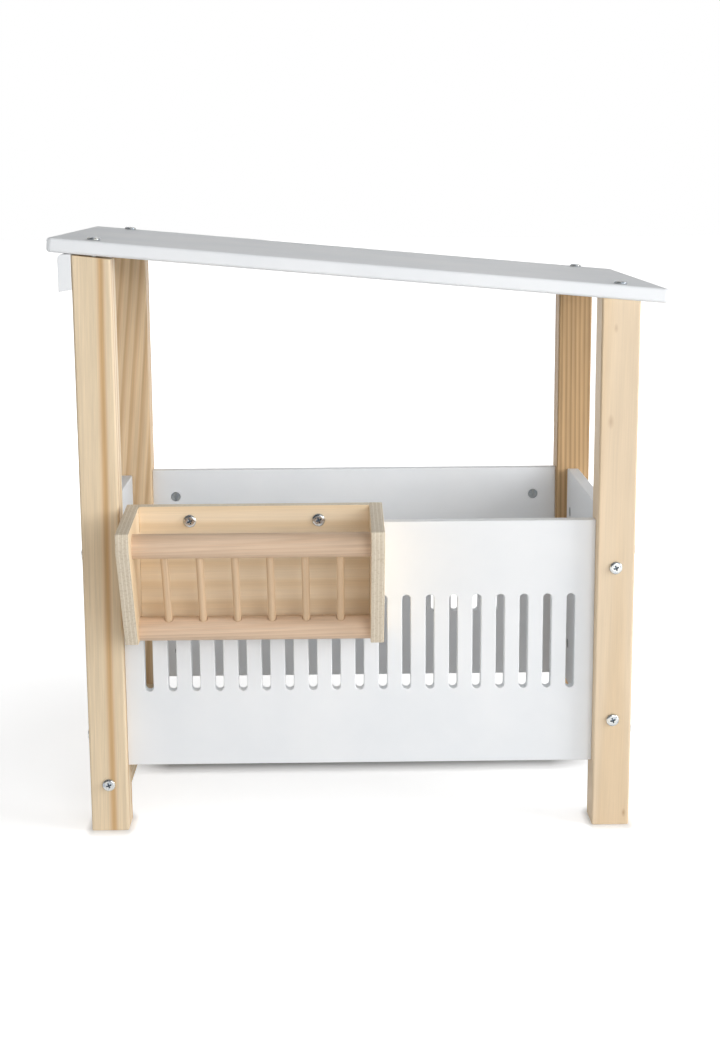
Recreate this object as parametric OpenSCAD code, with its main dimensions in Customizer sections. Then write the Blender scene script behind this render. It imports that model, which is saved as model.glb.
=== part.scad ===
// Toy barn with an open timber frame, slatted side walls, a pair of doors at
// the left end and a hay rack that hangs on the front wall. Millimetres, +Z up.
// Sizes are laid out from the outer face of the left posts (x), the front face
// of the front posts (y) and the floor (z). The finished part is then centred
// on its own outline, standing on z = 0.

/* [Posts] */
// Side of a square post
post_w = 35; // [30:1:42]
// Clear length between the left and the right posts
bay_len = 440; // [380:10:600]
// Clear depth between the front and the rear posts
bay_depth = 265; // [230:5:360]
// Height of the roof's underside at the outer face of the left posts
eave_h = 541.5; // [500:0.5:640]
// Fall of the roof towards the right end, in degrees
roof_fall = 5.1; // [2:0.1:8]
// Rounding of a post's long edges
post_edge_r = 2; // [1:0.5:4]
// Chamfer round a post's foot
foot_chamfer = 1; // [0.5:0.5:3]

/* [Wall boards] */
// Thickness of the three wall boards
wall_t = 12; // [11:0.5:16]
// Height of the wall boards
wall_h = 233; // [220:1:280]
// Height of their lower edge above the floor
wall_lift = 61; // [50:1:75]
// Width of a slot
slot_w = 8; // [5:0.5:12]
// Spacing of the slots
slot_pitch = 22; // [18:1:40]
// Length of a slot with its round ends
slot_len = 91; // [50:1:95]
// Height of a slot's lower end above the board's lower edge
slot_up = 72; // [50:1:85]

/* [Roof] */
// Thickness of the roof board
roof_t = 13; // [10:0.5:18]
// Overhang past the left posts
roof_over_left = 22; // [16:1:60]
// Overhang past the right posts
roof_over_right = 25; // [10:1:60]
// Overhang past the front and the rear posts
roof_over_side = 2.5; // [1:0.5:40]
// Rounding of the roof board's edges
roof_edge_r = 3; // [1:0.5:4]
// Rounding of the roof board's corners, seen from above
roof_corner_r = 5; // [4:0.5:20]

/* [Header board] */
// Thickness of the header board over the doorway
header_t = 12; // [9:0.5:15]
// Height of the header board at its inner face
header_h = 31.5; // [24:0.5:60]
// How much lower the header's outer lower edge reaches
header_bevel = 2; // [0.5:0.5:4]
// Rounding of the header's outer top edge
header_edge_r = 4; // [1:0.5:6]

/* [Threshold rail] */
// Height of the threshold rail between the left posts
rail_h = 22; // [18:1:30]
// Height of its lower edge above the floor
rail_lift = 34.5; // [20:0.5:50]

/* [Bolts] */
// Thread diameter of the frame bolts
bolt_d = 6; // [5:0.5:6.5]
// Diameter of their pan heads
bolt_head_d = 12; // [10:0.5:14]
// Height of their pan heads
bolt_head_h = 2.7; // [2:0.1:3.6]
// Depth of a roof bolt in its post
roof_bolt_grip = 35; // [25:1:45]
// Diameter of a barrel nut
nut_d = 10; // [9:0.5:12]
// Distance of a barrel nut from the end of its board
nut_in = 24.5; // [18:0.5:35]
// Metal left beyond the thread at a barrel nut's blind end
nut_cap = 1; // [0.6:0.1:1.5]
// Distance of the bolts in the long walls from the board's long edges
side_bolt_in = 29.5; // [22:0.5:33]
// Distance of the bolts in the end wall from the board's long edges
end_bolt_in = 43.2; // [40:0.1:60]

/* [Doors] */
// Thickness of a door leaf
door_t = 14.5; // [9:0.5:18]
// Height of a door leaf
door_h = 232; // [200:1:300]
// Gap between a leaf and its post
door_gap_side = 1.5; // [1:0.1:3]
// Gap between the two leaves
door_gap_mid = 2.5; // [1:0.1:4]
// Gap between a leaf and the threshold rail
door_gap_low = 2.5; // [1:0.1:6]

/* [Hinges] */
// Length of a butt hinge
hinge_len = 30; // [24:1:40]
// Width of a hinge plate from the pin's axis
hinge_wing = 12; // [10:0.5:14]
// Thickness of a hinge plate
hinge_plate_t = 1.1; // [0.8:0.1:1.6]
// Diameter of the knuckle
knuckle_d = 4.6; // [4:0.1:5.4]
// Diameter of the pin
pin_d = 2.4; // [1.8:0.1:2.8]
// Distance of a hinge's middle from the leaf's upper or lower end
hinge_in = 70; // [60:1:80]
// Thread diameter of the small wood screws
screw_d = 2.4; // [2:0.1:3]
// Length of the small wood screws
screw_len = 9; // [6:0.5:9]

/* [Knobs and turn button] */
// Diameter of a door knob
knob_d = 22; // [18:0.5:28]
// How far a knob stands out
knob_len = 18; // [15:0.5:30]
// Distance of a knob from the leaf's free edge
knob_in = 32; // [28:1:60]
// Length of the turn button
button_len = 50; // [40:1:70]
// Width of the turn button
button_w = 14; // [12:0.5:18]
// Thickness of the turn button
button_t = 7; // [5:0.5:9]
// Distance of the button's pivot from the leaf's free edge
button_in = 11; // [10:0.5:14]
// Height of the button's pivot above the knobs
button_up = 45; // [42:1:80]
// Thread diameter of the knob screws and the pivot screw
pivot_d = 4; // [3:0.1:4.5]
// Head diameter of the knob screws and the pivot screw
pivot_head_d = 8; // [7:0.5:9]

/* [Hay rack] */
// Gap between the left posts and the rack
rack_gap = 6.5; // [3:0.5:60]
// Clear width between the brackets
rack_in_w = 211; // [170:1:280]
// Thickness of the brackets
bracket_t = 12; // [9:0.5:18]
// Height of the brackets at the wall
bracket_h = 121.5; // [110:0.5:140]
// How far the brackets reach out from the wall
bracket_reach = 97.5; // [90:0.5:130]
// Depth of the brackets at the bottom
bracket_foot = 46.5; // [44:0.5:60]
// Height of the brackets' front edge
bracket_nose = 16; // [10:0.5:30]
// Drop of the brackets' top edge from the wall to the front
bracket_drop = 8.5; // [2:0.5:14]
// How far the rack stands above the wall board
rack_above = 18.5; // [16:0.5:26]
// Thickness of the rack's back board
back_t = 12; // [9:0.5:15]
// Height of the back board's lower edge above the brackets' lower edge
back_up = 6; // [2:0.5:24]
// Diameter of the two rails
rack_rail_d = 22; // [18:0.5:22]
// Depth of the rails' ends in the brackets
rack_rail_seat = 6; // [3:0.5:8]
// Distance of the upper rail's axis from the wall
top_rail_out = 69.5; // [62:0.5:72]
// Depth of the upper rail's axis below the rack's top
top_rail_down = 25; // [22:0.5:32]
// Distance of the lower rail's axis from the wall
low_rail_out = 29.5; // [27:0.5:32]
// Height of the lower rail's axis above the brackets' lower edge
low_rail_up = 11; // [11:0.5:20]
// Diameter of a spindle
spindle_d = 7; // [5:0.5:10]
// Spacing of the spindles
spindle_pitch = 31.4; // [20:0.1:50]
// Depth of a spindle in each rail
spindle_seat = 8; // [4:0.5:9]
// Distance of the rack bolts from the rack's middle
rack_bolt_out = 59; // [30:1:64]
// Outer diameter of the sleeves that rest on the wall board
sleeve_d = 9; // [8:0.1:12]
// Thickness of the cleat behind the wall board
cleat_t = 12; // [11:0.5:16]
// Height of the cleat behind the wall board
cleat_h = 23; // [20:0.5:32]
// Length of the cleat behind the wall board
cleat_len = 150; // [146:1:168]
// Outer diameter of the threaded inserts in the cleat
insert_d = 9; // [8:0.1:10]

/* [Fits] */
// Radial clearance of a bolt in its bored hole
bolt_clear = 0.25; // [0.1:0.05:0.5]
// Radial clearance of a thread in its nut or wood
thread_clear = 0.05; // [0.02:0.01:0.1]
// Radial clearance of the hinge pins and the button's pivot
pin_clear = 0.05; // [0.02:0.01:0.1]
// Radial clearance of a glued round piece in its hole
glue_clear = 0.15; // [0.05:0.05:0.3]
// Gap between parts that move past each other
move_gap = 0.3; // [0.2:0.05:0.6]

/* [Hidden] */
$fn = 48;

white_paint = [0.93, 0.93, 0.92];
pine = [0.85, 0.76, 0.62];
beech = [0.82, 0.69, 0.56];
plywood = [0.88, 0.79, 0.64];
zinc = [0.72, 0.74, 0.77];

// Frame outline
frame_len = bay_len + 2 * post_w;
frame_depth = bay_depth + 2 * post_w;
through = 1;   // how far a cut runs past the face it opens on

// Roof, in its own sloping plane: u along the slope from the left posts' outer
// face, w up from the underside
roof_u_min = -roof_over_left;
roof_u_max = frame_len / cos(roof_fall) + roof_over_right;
roof_v_min = -roof_over_side;
roof_v_max = frame_depth + roof_over_side;

// Wall boards: their inner faces, and the heights of their bolts
wall_inner = (post_w + wall_t) / 2;
wall_outer = (post_w - wall_t) / 2;
wall_top = wall_lift + wall_h;
nut_len = wall_t / 2 + bolt_d / 2 + nut_cap;
wall_bolt_len = post_w + nut_in + nut_d / 2;
slot_count = floor(bay_len / slot_pitch) - 1;

// Barrel nut's screwdriver slit
slit_w = 1.4;
slit_deep = 1.2;

// Header and threshold rail
header_top = eave_h - move_gap;
header_screw_d = 3.5;
header_screw_len = 20;
header_screw_head_d = 7;
header_screw_spread = 8;
rail_mid = rail_lift + rail_h / 2;
rail_edge_r = 1.5;
rail_nut_len = rail_h / 2 + bolt_d / 2 + nut_cap;

// Door leaves
door_low = rail_lift + rail_h + door_gap_low;
door_mid = door_low + door_h / 2;
leaf_w = (bay_depth - 2 * door_gap_side - door_gap_mid) / 2;
front_leaf_y = post_w + door_gap_side;
rear_leaf_y = post_w + bay_depth - door_gap_side - leaf_w;
front_free_edge = front_leaf_y + leaf_w;

// Hinges: the pin stands off the leaf's outer face and over the middle of the gap
hinge_off = knuckle_d / 2 + move_gap;
hinge_axis_x = -hinge_off;
front_hinge_y = post_w + door_gap_side / 2;
rear_hinge_y = post_w + bay_depth - door_gap_side / 2;
hinge_z = [door_low + hinge_in, door_low + door_h - hinge_in];
knuckle_half = hinge_len / 6;
screw_head_d = 4.4;
screw_head_h = 1;
hinge_screw_y = (hinge_wing + knuckle_d / 2) / 2;
hinge_screw_z = hinge_len / 4;

// Knobs and turn button
knob_foot_d = 0.7 * knob_d;
knob_foot_h = 3;
knob_neck_d = 0.5 * knob_d;
knob_cap_low = 0.42 * knob_len;
knob_cap_mid = 0.55 * knob_len;
front_knob_y = front_free_edge - knob_in;
rear_knob_y = rear_leaf_y + knob_in;
knob_screw_len = door_t + knob_len / 2;
pivot_head_h = 2.4;
button_y = front_free_edge - button_in;
button_z = door_mid + button_up;
pivot_grip = 0.8 * door_t;
pivot_screw_len = pivot_grip + button_t + 2 * move_gap;

// Hay rack, hung on the front wall board: outlines in y and z
rack_rear = wall_outer - move_gap;
rack_top = wall_top + rack_above;
rack_low = rack_top - bracket_h;
rack_front = rack_rear - bracket_reach;
back_h = bracket_h - back_up;
rack_left = post_w + rack_gap;
rack_in_left = rack_left + bracket_t;
rack_in_right = rack_in_left + rack_in_w;
rack_mid = rack_in_left + rack_in_w / 2;
back_face = rack_rear - back_t;
top_rail_y = rack_rear - top_rail_out;
top_rail_z = rack_top - top_rail_down;
low_rail_y = rack_rear - low_rail_out;
low_rail_z = rack_low + low_rail_up;
spindle_tilt = atan2(low_rail_y - top_rail_y, top_rail_z - low_rail_z);
rail_to_rail = norm([low_rail_y - top_rail_y, top_rail_z - low_rail_z]);
spindle_len = rail_to_rail - rack_rail_d + 2 * spindle_seat;
spindle_count = floor(rack_in_w / spindle_pitch);
sleeve_z = wall_top + move_gap + sleeve_d / 2;
sleeve_len = wall_t + 2 * move_gap;
cleat_front = rack_rear + sleeve_len;
cleat_low = sleeve_z - 0.68 * cleat_h;
insert_len = cleat_t - 2;
rack_bolt_len = back_t + sleeve_len + insert_len - 1;
rack_screw_d = 3.5;
rack_screw_len = bracket_t + 20;
rack_screw_head_d = 7;
rack_screw_z = [rack_top - 0.25 * back_h, rack_top - 0.8 * back_h];

// The middle of the whole outline, which becomes the origin
slope_c = cos(roof_fall);
slope_s = sin(roof_fall);
x_min = (roof_u_min + roof_edge_r) * slope_c + roof_edge_r * slope_s - roof_edge_r;
x_max = (roof_u_max - roof_edge_r) * slope_c + (roof_t - roof_edge_r) * slope_s + roof_edge_r;
mid_x = (x_min + x_max) / 2;
mid_y = (rack_front + roof_v_max) / 2;

// ---- helpers ----

module place() translate([-mid_x, -mid_y, 0]) children();

// A flat outline in (x, z) drawn out along y, or one in (y, z) along x
module along_y(y0, len) translate([0, y0 + len, 0]) rotate([90, 0, 0]) linear_extrude(len) children();
module along_x(x0, len) translate([x0, 0, 0]) rotate([90, 0, 90]) linear_extrude(len) children();

module rounded_rect(x0, y0, w, h, r) {
    translate([x0 + r, y0]) square([w - 2 * r, h]);
    translate([x0, y0 + r]) square([w, h - 2 * r]);
    for (x = [x0 + r, x0 + w - r], y = [y0 + r, y0 + h - r])
        translate([x, y]) circle(r);
}

module stadium(len, w) {
    translate([-w / 2, -(len - w) / 2]) square([w, len - w]);
    for (s = [-1, 1])
        translate([0, s * (len - w) / 2]) circle(w / 2);
}

// Pan head screw along z: head above z = 0, shank below
module pan_screw(d, len, head_d, head_h) {
    rim = 0.45 * head_h;
    rise = head_h - rim;
    dome_r = (head_d * head_d / 4 + rise * rise) / (2 * rise);
    cross_w = 0.14 * head_d;
    cross_len = 0.56 * head_d;
    cross_deep = 0.6 * head_h;
    translate([0, 0, -len]) cylinder(d = d, h = len + rim / 2);
    difference() {
        intersection() {
            cylinder(d = head_d, h = head_h);
            translate([0, 0, head_h - dome_r]) sphere(dome_r, $fn = 96);
        }
        for (a = [0, 90])
            rotate([0, 0, a + 20])
                translate([-cross_len / 2, -cross_w / 2, head_h - cross_deep])
                    cube([cross_len, cross_w, head_h]);
    }
}

// A bored hole for that screw
module bore(d, len, clear) translate([0, 0, -len]) cylinder(d = d + 2 * clear, h = len + through);

// The cone under a countersunk head whose flat top is z = 0
module sunk_cone(d, head_d, clear) {
    deep = (head_d - d) / 2;
    translate([0, 0, -deep]) cylinder(d1 = d + 2 * clear, d2 = head_d + 2 * clear, h = deep);
}

// Countersunk screw along z: the head's flat top at z = 0, the rest below
module sunk_screw(d, len, head_d) {
    cross_w = 0.14 * head_d;
    cross_len = 0.5 * head_d;
    cross_deep = 0.14 * head_d;
    translate([0, 0, -len]) cylinder(d = d, h = len - cross_deep);
    difference() {
        sunk_cone(d, head_d, 0);
        for (a = [0, 90])
            rotate([0, 0, a + 20])
                translate([-cross_len / 2, -cross_w / 2, -cross_deep]) cube([cross_len, cross_w, head_d]);
    }
}

// Turns z outwards through the left, right, front or rear face
module to_left() rotate([0, -90, 0]) children();
module to_right() rotate([0, 90, 0]) children();
module to_front() rotate([90, 0, 0]) children();
module to_rear() rotate([-90, 0, 0]) children();

// ---- wall boards and what fastens them ----
// In a wall's own frame x runs along the board from its end, the inner face is
// y = 0 and the board lies behind it.

module at_front_wall() translate([post_w, wall_inner, wall_lift]) children();
module at_rear_wall() translate([post_w, frame_depth - wall_inner, wall_lift]) mirror([0, 1, 0]) children();
module at_end_wall() translate([frame_len - wall_inner, post_w, wall_lift]) rotate([0, 0, 90]) children();

// Children sit at each end of the board with z outwards through the post
module at_wall_bolts(len, inset)
    for (z = [inset, wall_h - inset]) {
        translate([-post_w, -wall_t / 2, z]) to_left() children();
        translate([len + post_w, -wall_t / 2, z]) to_right() children();
    }

module wall_bolts(len, inset)
    at_wall_bolts(len, inset) pan_screw(bolt_d, wall_bolt_len, bolt_head_d, bolt_head_h);

module wall_bores(len, inset)
    at_wall_bolts(len, inset) bore(bolt_d, wall_bolt_len + through, bolt_clear);

module at_wall_nuts(len, inset)
    for (x = [nut_in, len - nut_in], z = [inset, wall_h - inset])
        translate([x, 0, z]) children();

// Barrel nut along -y from the board's inner face, threaded along x
module barrel_nut(len, thread_at) {
    difference() {
        rotate([90, 0, 0]) cylinder(d = nut_d - 2 * glue_clear, h = len);
        translate([-nut_d, -thread_at, 0])
            rotate([0, 90, 0]) cylinder(d = bolt_d + 2 * thread_clear, h = 2 * nut_d);
        translate([-slit_w / 2, -slit_deep, -nut_d]) cube([slit_w, slit_deep + through, 2 * nut_d]);
    }
}

module wall_nuts(len, inset) at_wall_nuts(len, inset) barrel_nut(nut_len, wall_t / 2);

module wall_board(len, inset, slots) {
    difference() {
        translate([0, -wall_t, 0]) cube([len, wall_t, wall_h]);
        wall_bores(len, inset);
        at_wall_nuts(len, inset)
            translate([0, through, 0])
                rotate([90, 0, 0]) cylinder(d = nut_d, h = nut_len + glue_clear + through);
        if (slots)
            for (i = [0 : slot_count - 1])
                translate([len / 2 + (i - (slot_count - 1) / 2) * slot_pitch, 0, slot_up + slot_len / 2])
                    rotate([90, 0, 0])
                        translate([0, 0, -through]) linear_extrude(wall_t + 2 * through)
                            stadium(slot_len, slot_w);
    }
}

// ---- roof ----

module on_roof() translate([0, 0, eave_h]) rotate([0, roof_fall, 0]) children();

// Children sit on the roof's top over each post, with z square to the roof
module at_roof_bolts()
    for (x = [post_w / 2, frame_len - post_w / 2], y = [post_w / 2, frame_depth - post_w / 2])
        on_roof() translate([x / slope_c, y, roof_t]) children();

module roof_bores() at_roof_bolts() bore(bolt_d, roof_t + roof_bolt_grip + through, bolt_clear);

module roof_panel() color(white_paint) place() {
    u_len = roof_u_max - roof_u_min;
    v_len = roof_v_max - roof_v_min;
    difference() {
        on_roof() intersection() {
            linear_extrude(roof_t) rounded_rect(roof_u_min, roof_v_min, u_len, v_len, roof_corner_r);
            along_y(roof_v_min, v_len) rounded_rect(roof_u_min, 0, u_len, roof_t, roof_edge_r);
            along_x(roof_u_min, u_len) rounded_rect(roof_v_min, 0, v_len, roof_t, roof_edge_r);
        }
        roof_bores();
    }
}

module roof_bolts() color(zinc) place()
    at_roof_bolts() pan_screw(bolt_d, roof_t + roof_bolt_grip, bolt_head_d, bolt_head_h);

// ---- header board ----

module at_header_screws()
    for (y = [post_w / 2, frame_depth - post_w / 2], s = [-1, 1])
        translate([-header_t, y + s * header_screw_spread, header_top - header_h / 2]) to_left() children();

module header_bores() at_header_screws() {
    bore(header_screw_d, header_screw_len + through, thread_clear);
    sunk_cone(header_screw_d, header_screw_head_d, thread_clear);
}

module header_board() color(white_paint) place()
    difference() {
        along_y(0, frame_depth) {
            polygon([
                [0, header_top - header_h], [0, header_top],
                [header_edge_r - header_t, header_top], [-header_t, header_top - header_edge_r],
                [-header_t, header_top - header_h - header_bevel]
            ]);
            intersection() {
                translate([header_edge_r - header_t, header_top - header_edge_r]) circle(header_edge_r);
                translate([-header_t, header_top - header_edge_r]) square(header_edge_r);
            }
        }
        header_bores();
    }

module header_screws() color(zinc) place()
    at_header_screws() sunk_screw(header_screw_d, header_screw_len, header_screw_head_d);

// ---- threshold rail ----

module at_rail_bolts() {
    translate([post_w / 2, 0, rail_mid]) to_front() children();
    translate([post_w / 2, frame_depth, rail_mid]) to_rear() children();
}

module rail_bores() at_rail_bolts() bore(bolt_d, wall_bolt_len + through, bolt_clear);

// Children stand in the rail's underside with -y of a barrel nut turned upwards
module at_rail_nuts()
    for (y = [post_w + nut_in, post_w + bay_depth - nut_in])
        translate([post_w / 2, y, rail_lift]) rotate([-90, 0, 90]) children();

module bottom_cross_rail() color(pine) place()
    difference() {
        along_y(post_w, bay_depth) rounded_rect(0, rail_lift, post_w, rail_h, rail_edge_r);
        rail_bores();
        at_rail_nuts()
            translate([0, through, 0])
                rotate([90, 0, 0]) cylinder(d = nut_d, h = rail_nut_len + glue_clear + through);
    }

module rail_bolts() color(zinc) place()
    at_rail_bolts() pan_screw(bolt_d, wall_bolt_len, bolt_head_d, bolt_head_h);

module rail_barrel_nuts() color(zinc) place() at_rail_nuts() barrel_nut(rail_nut_len, rail_h / 2);

// ---- posts ----

function under_roof(x) = eave_h - x * tan(roof_fall);

module post_shape(x0, y0) {
    c = foot_chamfer;
    intersection() {
        translate([x0, y0, 0]) linear_extrude(eave_h + post_w) rounded_rect(0, 0, post_w, post_w, post_edge_r);
        along_y(y0, post_w) polygon([
            [x0 + c, 0], [x0 + post_w - c, 0], [x0 + post_w, c], [x0 + post_w, under_roof(x0 + post_w)],
            [x0, under_roof(x0)], [x0, c]
        ]);
        along_x(x0, post_w) polygon([
            [y0 + c, 0], [y0 + post_w - c, 0], [y0 + post_w, c], [y0 + post_w, eave_h + post_w],
            [y0, eave_h + post_w], [y0, c]
        ]);
    }
}

module left_post(y0) color(pine) place()
    difference() {
        post_shape(0, y0);
        at_front_wall() wall_bores(bay_len, side_bolt_in);
        at_rear_wall() wall_bores(bay_len, side_bolt_in);
        rail_bores();
        roof_bores();
        header_bores();
        at_hinges(true, false) hinge_screw_bores(-1);
        at_hinges(false, true) hinge_screw_bores(-1);
    }

module right_post(y0) color(pine) place()
    difference() {
        post_shape(frame_len - post_w, y0);
        at_front_wall() wall_bores(bay_len, side_bolt_in);
        at_rear_wall() wall_bores(bay_len, side_bolt_in);
        at_end_wall() wall_bores(bay_depth, end_bolt_in);
        roof_bores();
    }

module post_front_left() left_post(0);
module post_rear_left() left_post(post_w + bay_depth);
module post_front_right() right_post(0);
module post_rear_right() right_post(post_w + bay_depth);

// ---- walls ----

module front_side_panel() color(white_paint) place() at_front_wall() wall_board(bay_len, side_bolt_in, true);
module rear_side_panel() color(white_paint) place() at_rear_wall() wall_board(bay_len, side_bolt_in, true);
module right_end_panel() color(white_paint) place() at_end_wall() wall_board(bay_depth, end_bolt_in, false);

module side_panel_bolts() color(zinc) place() {
    at_front_wall() wall_bolts(bay_len, side_bolt_in);
    at_rear_wall() wall_bolts(bay_len, side_bolt_in);
}

module side_panel_barrel_nuts() color(zinc) place() {
    at_front_wall() wall_nuts(bay_len, side_bolt_in);
    at_rear_wall() wall_nuts(bay_len, side_bolt_in);
}

module end_panel_bolts() color(zinc) place() at_end_wall() wall_bolts(bay_depth, end_bolt_in);
module end_panel_barrel_nuts() color(zinc) place() at_end_wall() wall_nuts(bay_depth, end_bolt_in);

// ---- hinges ----
// In a hinge's own frame the pin is the z axis, the post lies at -y, the door at
// +y, and both faces that carry a plate are at x = hinge_off.

module at_hinges(front, rear)
    for (z = hinge_z) {
        if (front) translate([hinge_axis_x, front_hinge_y, z]) children();
        if (rear) translate([hinge_axis_x, rear_hinge_y, z]) mirror([0, 1, 0]) children();
    }

module at_hinge_screws(side)
    for (s = [-1, 1])
        translate([hinge_off - hinge_plate_t, side * hinge_screw_y, s * hinge_screw_z]) to_left() children();

module hinge_screw_bores(side) at_hinge_screws(side) bore(screw_d, screw_len + through, thread_clear);
module hinge_screws(side) at_hinge_screws(side) pan_screw(screw_d, screw_len, screw_head_d, screw_head_h);

// The post's plate carries the two outer knuckles, the door's plate the middle one
module hinge_plate(side) {
    half = hinge_len / 2;
    own = side < 0 ? [[-half, -knuckle_half - move_gap / 2], [knuckle_half + move_gap / 2, half]]
        : [[-knuckle_half + move_gap / 2, knuckle_half - move_gap / 2]];
    reach = knuckle_d / 2 + move_gap;
    difference() {
        union() {
            translate([hinge_off - hinge_plate_t, side < 0 ? -hinge_wing : reach, -half])
                cube([hinge_plate_t, hinge_wing - reach, hinge_len]);
            for (k = own) {
                translate([0, 0, k[0]]) cylinder(d = knuckle_d, h = k[1] - k[0]);
                translate([hinge_off - hinge_plate_t, side < 0 ? -reach : 0, k[0]])
                    cube([hinge_plate_t, reach, k[1] - k[0]]);
            }
        }
        translate([0, 0, -hinge_len]) cylinder(d = pin_d + 2 * pin_clear, h = 2 * hinge_len);
        at_hinge_screws(side) bore(screw_d, screw_len, thread_clear);
    }
}

module hinge_post_leaves() color(zinc) place() at_hinges(true, true) hinge_plate(-1);
module hinge_post_screws() color(zinc) place() at_hinges(true, true) hinge_screws(-1);
module hinge_pins() color(zinc) place()
    at_hinges(true, true) translate([0, 0, -hinge_len / 2]) cylinder(d = pin_d, h = hinge_len);

// ---- doors ----

module at_knob(y) translate([0, y, door_mid]) children();

module door_leaf(y0, knob_y)
    difference() {
        translate([0, y0, door_low]) cube([door_t, leaf_w, door_h]);
        at_knob(knob_y) translate([door_t, 0, 0]) to_right() bore(pivot_d, door_t + through, thread_clear);
        at_hinges(true, true) hinge_screw_bores(1);
    }

module door_knob(y)
    at_knob(y) to_left() difference() {
        union() {
            cylinder(d = knob_foot_d, h = knob_foot_h);
            cylinder(d = knob_neck_d, h = knob_cap_mid);
            intersection() {
                translate([0, 0, knob_cap_mid]) sphere(d = knob_d, $fn = 96);
                translate([0, 0, knob_cap_low]) cylinder(d = knob_d, h = knob_len - knob_cap_low);
            }
        }
        translate([0, 0, -through])
            cylinder(d = pivot_d + 2 * thread_clear, h = knob_screw_len - door_t + 2 * through);
    }

module knob_screw(y)
    at_knob(y) translate([door_t, 0, 0]) to_right() pan_screw(pivot_d, knob_screw_len, pivot_head_d, pivot_head_h);

module at_button() translate([0, button_y, button_z]) children();

module front_door_leaf() color(white_paint) place()
    difference() {
        door_leaf(front_leaf_y, front_knob_y);
        at_button() to_left() bore(pivot_d, pivot_grip + through, thread_clear);
    }

module rear_door_leaf() color(white_paint) place() door_leaf(rear_leaf_y, rear_knob_y);

module front_door_hinge_leaves() color(zinc) place() at_hinges(true, false) hinge_plate(1);
module rear_door_hinge_leaves() color(zinc) place() at_hinges(false, true) hinge_plate(1);
module front_door_hinge_screws() color(zinc) place() at_hinges(true, false) hinge_screws(1);
module rear_door_hinge_screws() color(zinc) place() at_hinges(false, true) hinge_screws(1);
module front_door_knob() color(beech) place() door_knob(front_knob_y);
module rear_door_knob() color(beech) place() door_knob(rear_knob_y);
module front_door_knob_screw() color(zinc) place() knob_screw(front_knob_y);
module rear_door_knob_screw() color(zinc) place() knob_screw(rear_knob_y);

module turn_button() color(beech) place()
    at_button() difference() {
        along_x(-move_gap - button_t, button_t) stadium(button_len, button_w);
        to_left() cylinder(d = pivot_d + 2 * pin_clear, h = button_t + 2 * move_gap + through);
    }

module turn_button_screw() color(zinc) place()
    at_button() translate([-button_t - 2 * move_gap, 0, 0]) to_left()
        pan_screw(pivot_d, pivot_screw_len, pivot_head_d, pivot_head_h);

// ---- hay rack ----

module rack_rail(y, z, len, clear)
    translate([rack_mid - len / 2, y, z]) rotate([0, 90, 0]) cylinder(d = rack_rail_d + 2 * clear, h = len);

module both_rails(len, clear) {
    rack_rail(top_rail_y, top_rail_z, len, clear);
    rack_rail(low_rail_y, low_rail_z, len, clear);
}

module at_rack_screws() {
    for (z = rack_screw_z) {
        translate([rack_left, rack_rear - back_t / 2, z]) to_left() children();
        translate([rack_in_right + bracket_t, rack_rear - back_t / 2, z]) to_right() children();
    }
}

module rack_screw_bores() at_rack_screws() bore(rack_screw_d, rack_screw_len + through, thread_clear);

module at_rack_bolts()
    for (s = [-1, 1])
        translate([rack_mid + s * rack_bolt_out, back_face, sleeve_z]) to_front() children();

module rack_bracket(x0) color(plywood) place()
    difference() {
        along_x(x0, bracket_t) polygon([
            [rack_rear, rack_low], [rack_rear, rack_top],
            [rack_front, rack_top - bracket_drop], [rack_front, rack_top - bracket_drop - bracket_nose],
            [rack_rear - bracket_foot, rack_low]
        ]);
        both_rails(rack_in_w + 2 * rack_rail_seat + 2 * glue_clear, glue_clear);
        rack_screw_bores();
    }

module rack_left_bracket() rack_bracket(rack_left);
module rack_right_bracket() rack_bracket(rack_in_right);

module rack_back_board() color(plywood) place()
    difference() {
        translate([rack_in_left, back_face, rack_top - back_h]) cube([rack_in_w, back_t, back_h]);
        at_rack_bolts() bore(bolt_d, back_t + through, bolt_clear);
        rack_screw_bores();
    }

// Children stand on the upper rail's axis with -z pointing at the lower rail
module at_spindles()
    for (i = [0 : spindle_count - 1])
        translate([rack_mid + (i - (spindle_count - 1) / 2) * spindle_pitch, top_rail_y, top_rail_z])
            rotate([spindle_tilt, 0, 0]) children();

module spindle(clear)
    translate([0, 0, -(rail_to_rail + spindle_len) / 2 - clear])
        cylinder(d = spindle_d + 2 * clear, h = spindle_len + 2 * clear);

module rack_top_rail() color(beech) place()
    difference() {
        rack_rail(top_rail_y, top_rail_z, rack_in_w + 2 * rack_rail_seat, 0);
        at_spindles() spindle(glue_clear);
    }

module rack_bottom_rail() color(beech) place()
    difference() {
        rack_rail(low_rail_y, low_rail_z, rack_in_w + 2 * rack_rail_seat, 0);
        at_spindles() spindle(glue_clear);
    }

module rack_spindles() color(beech) place() at_spindles() spindle(0);

module rack_bolts() color(zinc) place()
    at_rack_bolts() pan_screw(bolt_d, rack_bolt_len, bolt_head_d, bolt_head_h);

module rack_sleeves() color(zinc) place()
    at_rack_bolts() translate([0, 0, -back_t - sleeve_len]) difference() {
        cylinder(d = sleeve_d, h = sleeve_len);
        translate([0, 0, -through])
            cylinder(d = bolt_d + 2 * bolt_clear, h = sleeve_len + 2 * through);
    }

module rack_insert_nuts() color(zinc) place()
    at_rack_bolts() translate([0, 0, -back_t - sleeve_len - insert_len]) difference() {
        cylinder(d = insert_d, h = insert_len);
        translate([0, 0, -through])
            cylinder(d = bolt_d + 2 * thread_clear, h = insert_len + 2 * through);
    }

module rack_rear_cleat() color(plywood) place()
    difference() {
        translate([rack_mid - cleat_len / 2, cleat_front, cleat_low]) cube([cleat_len, cleat_t, cleat_h]);
        at_rack_bolts() translate([0, 0, -back_t - sleeve_len - insert_len - glue_clear])
            cylinder(d = insert_d + 2 * glue_clear, h = insert_len + glue_clear + through);
    }

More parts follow.
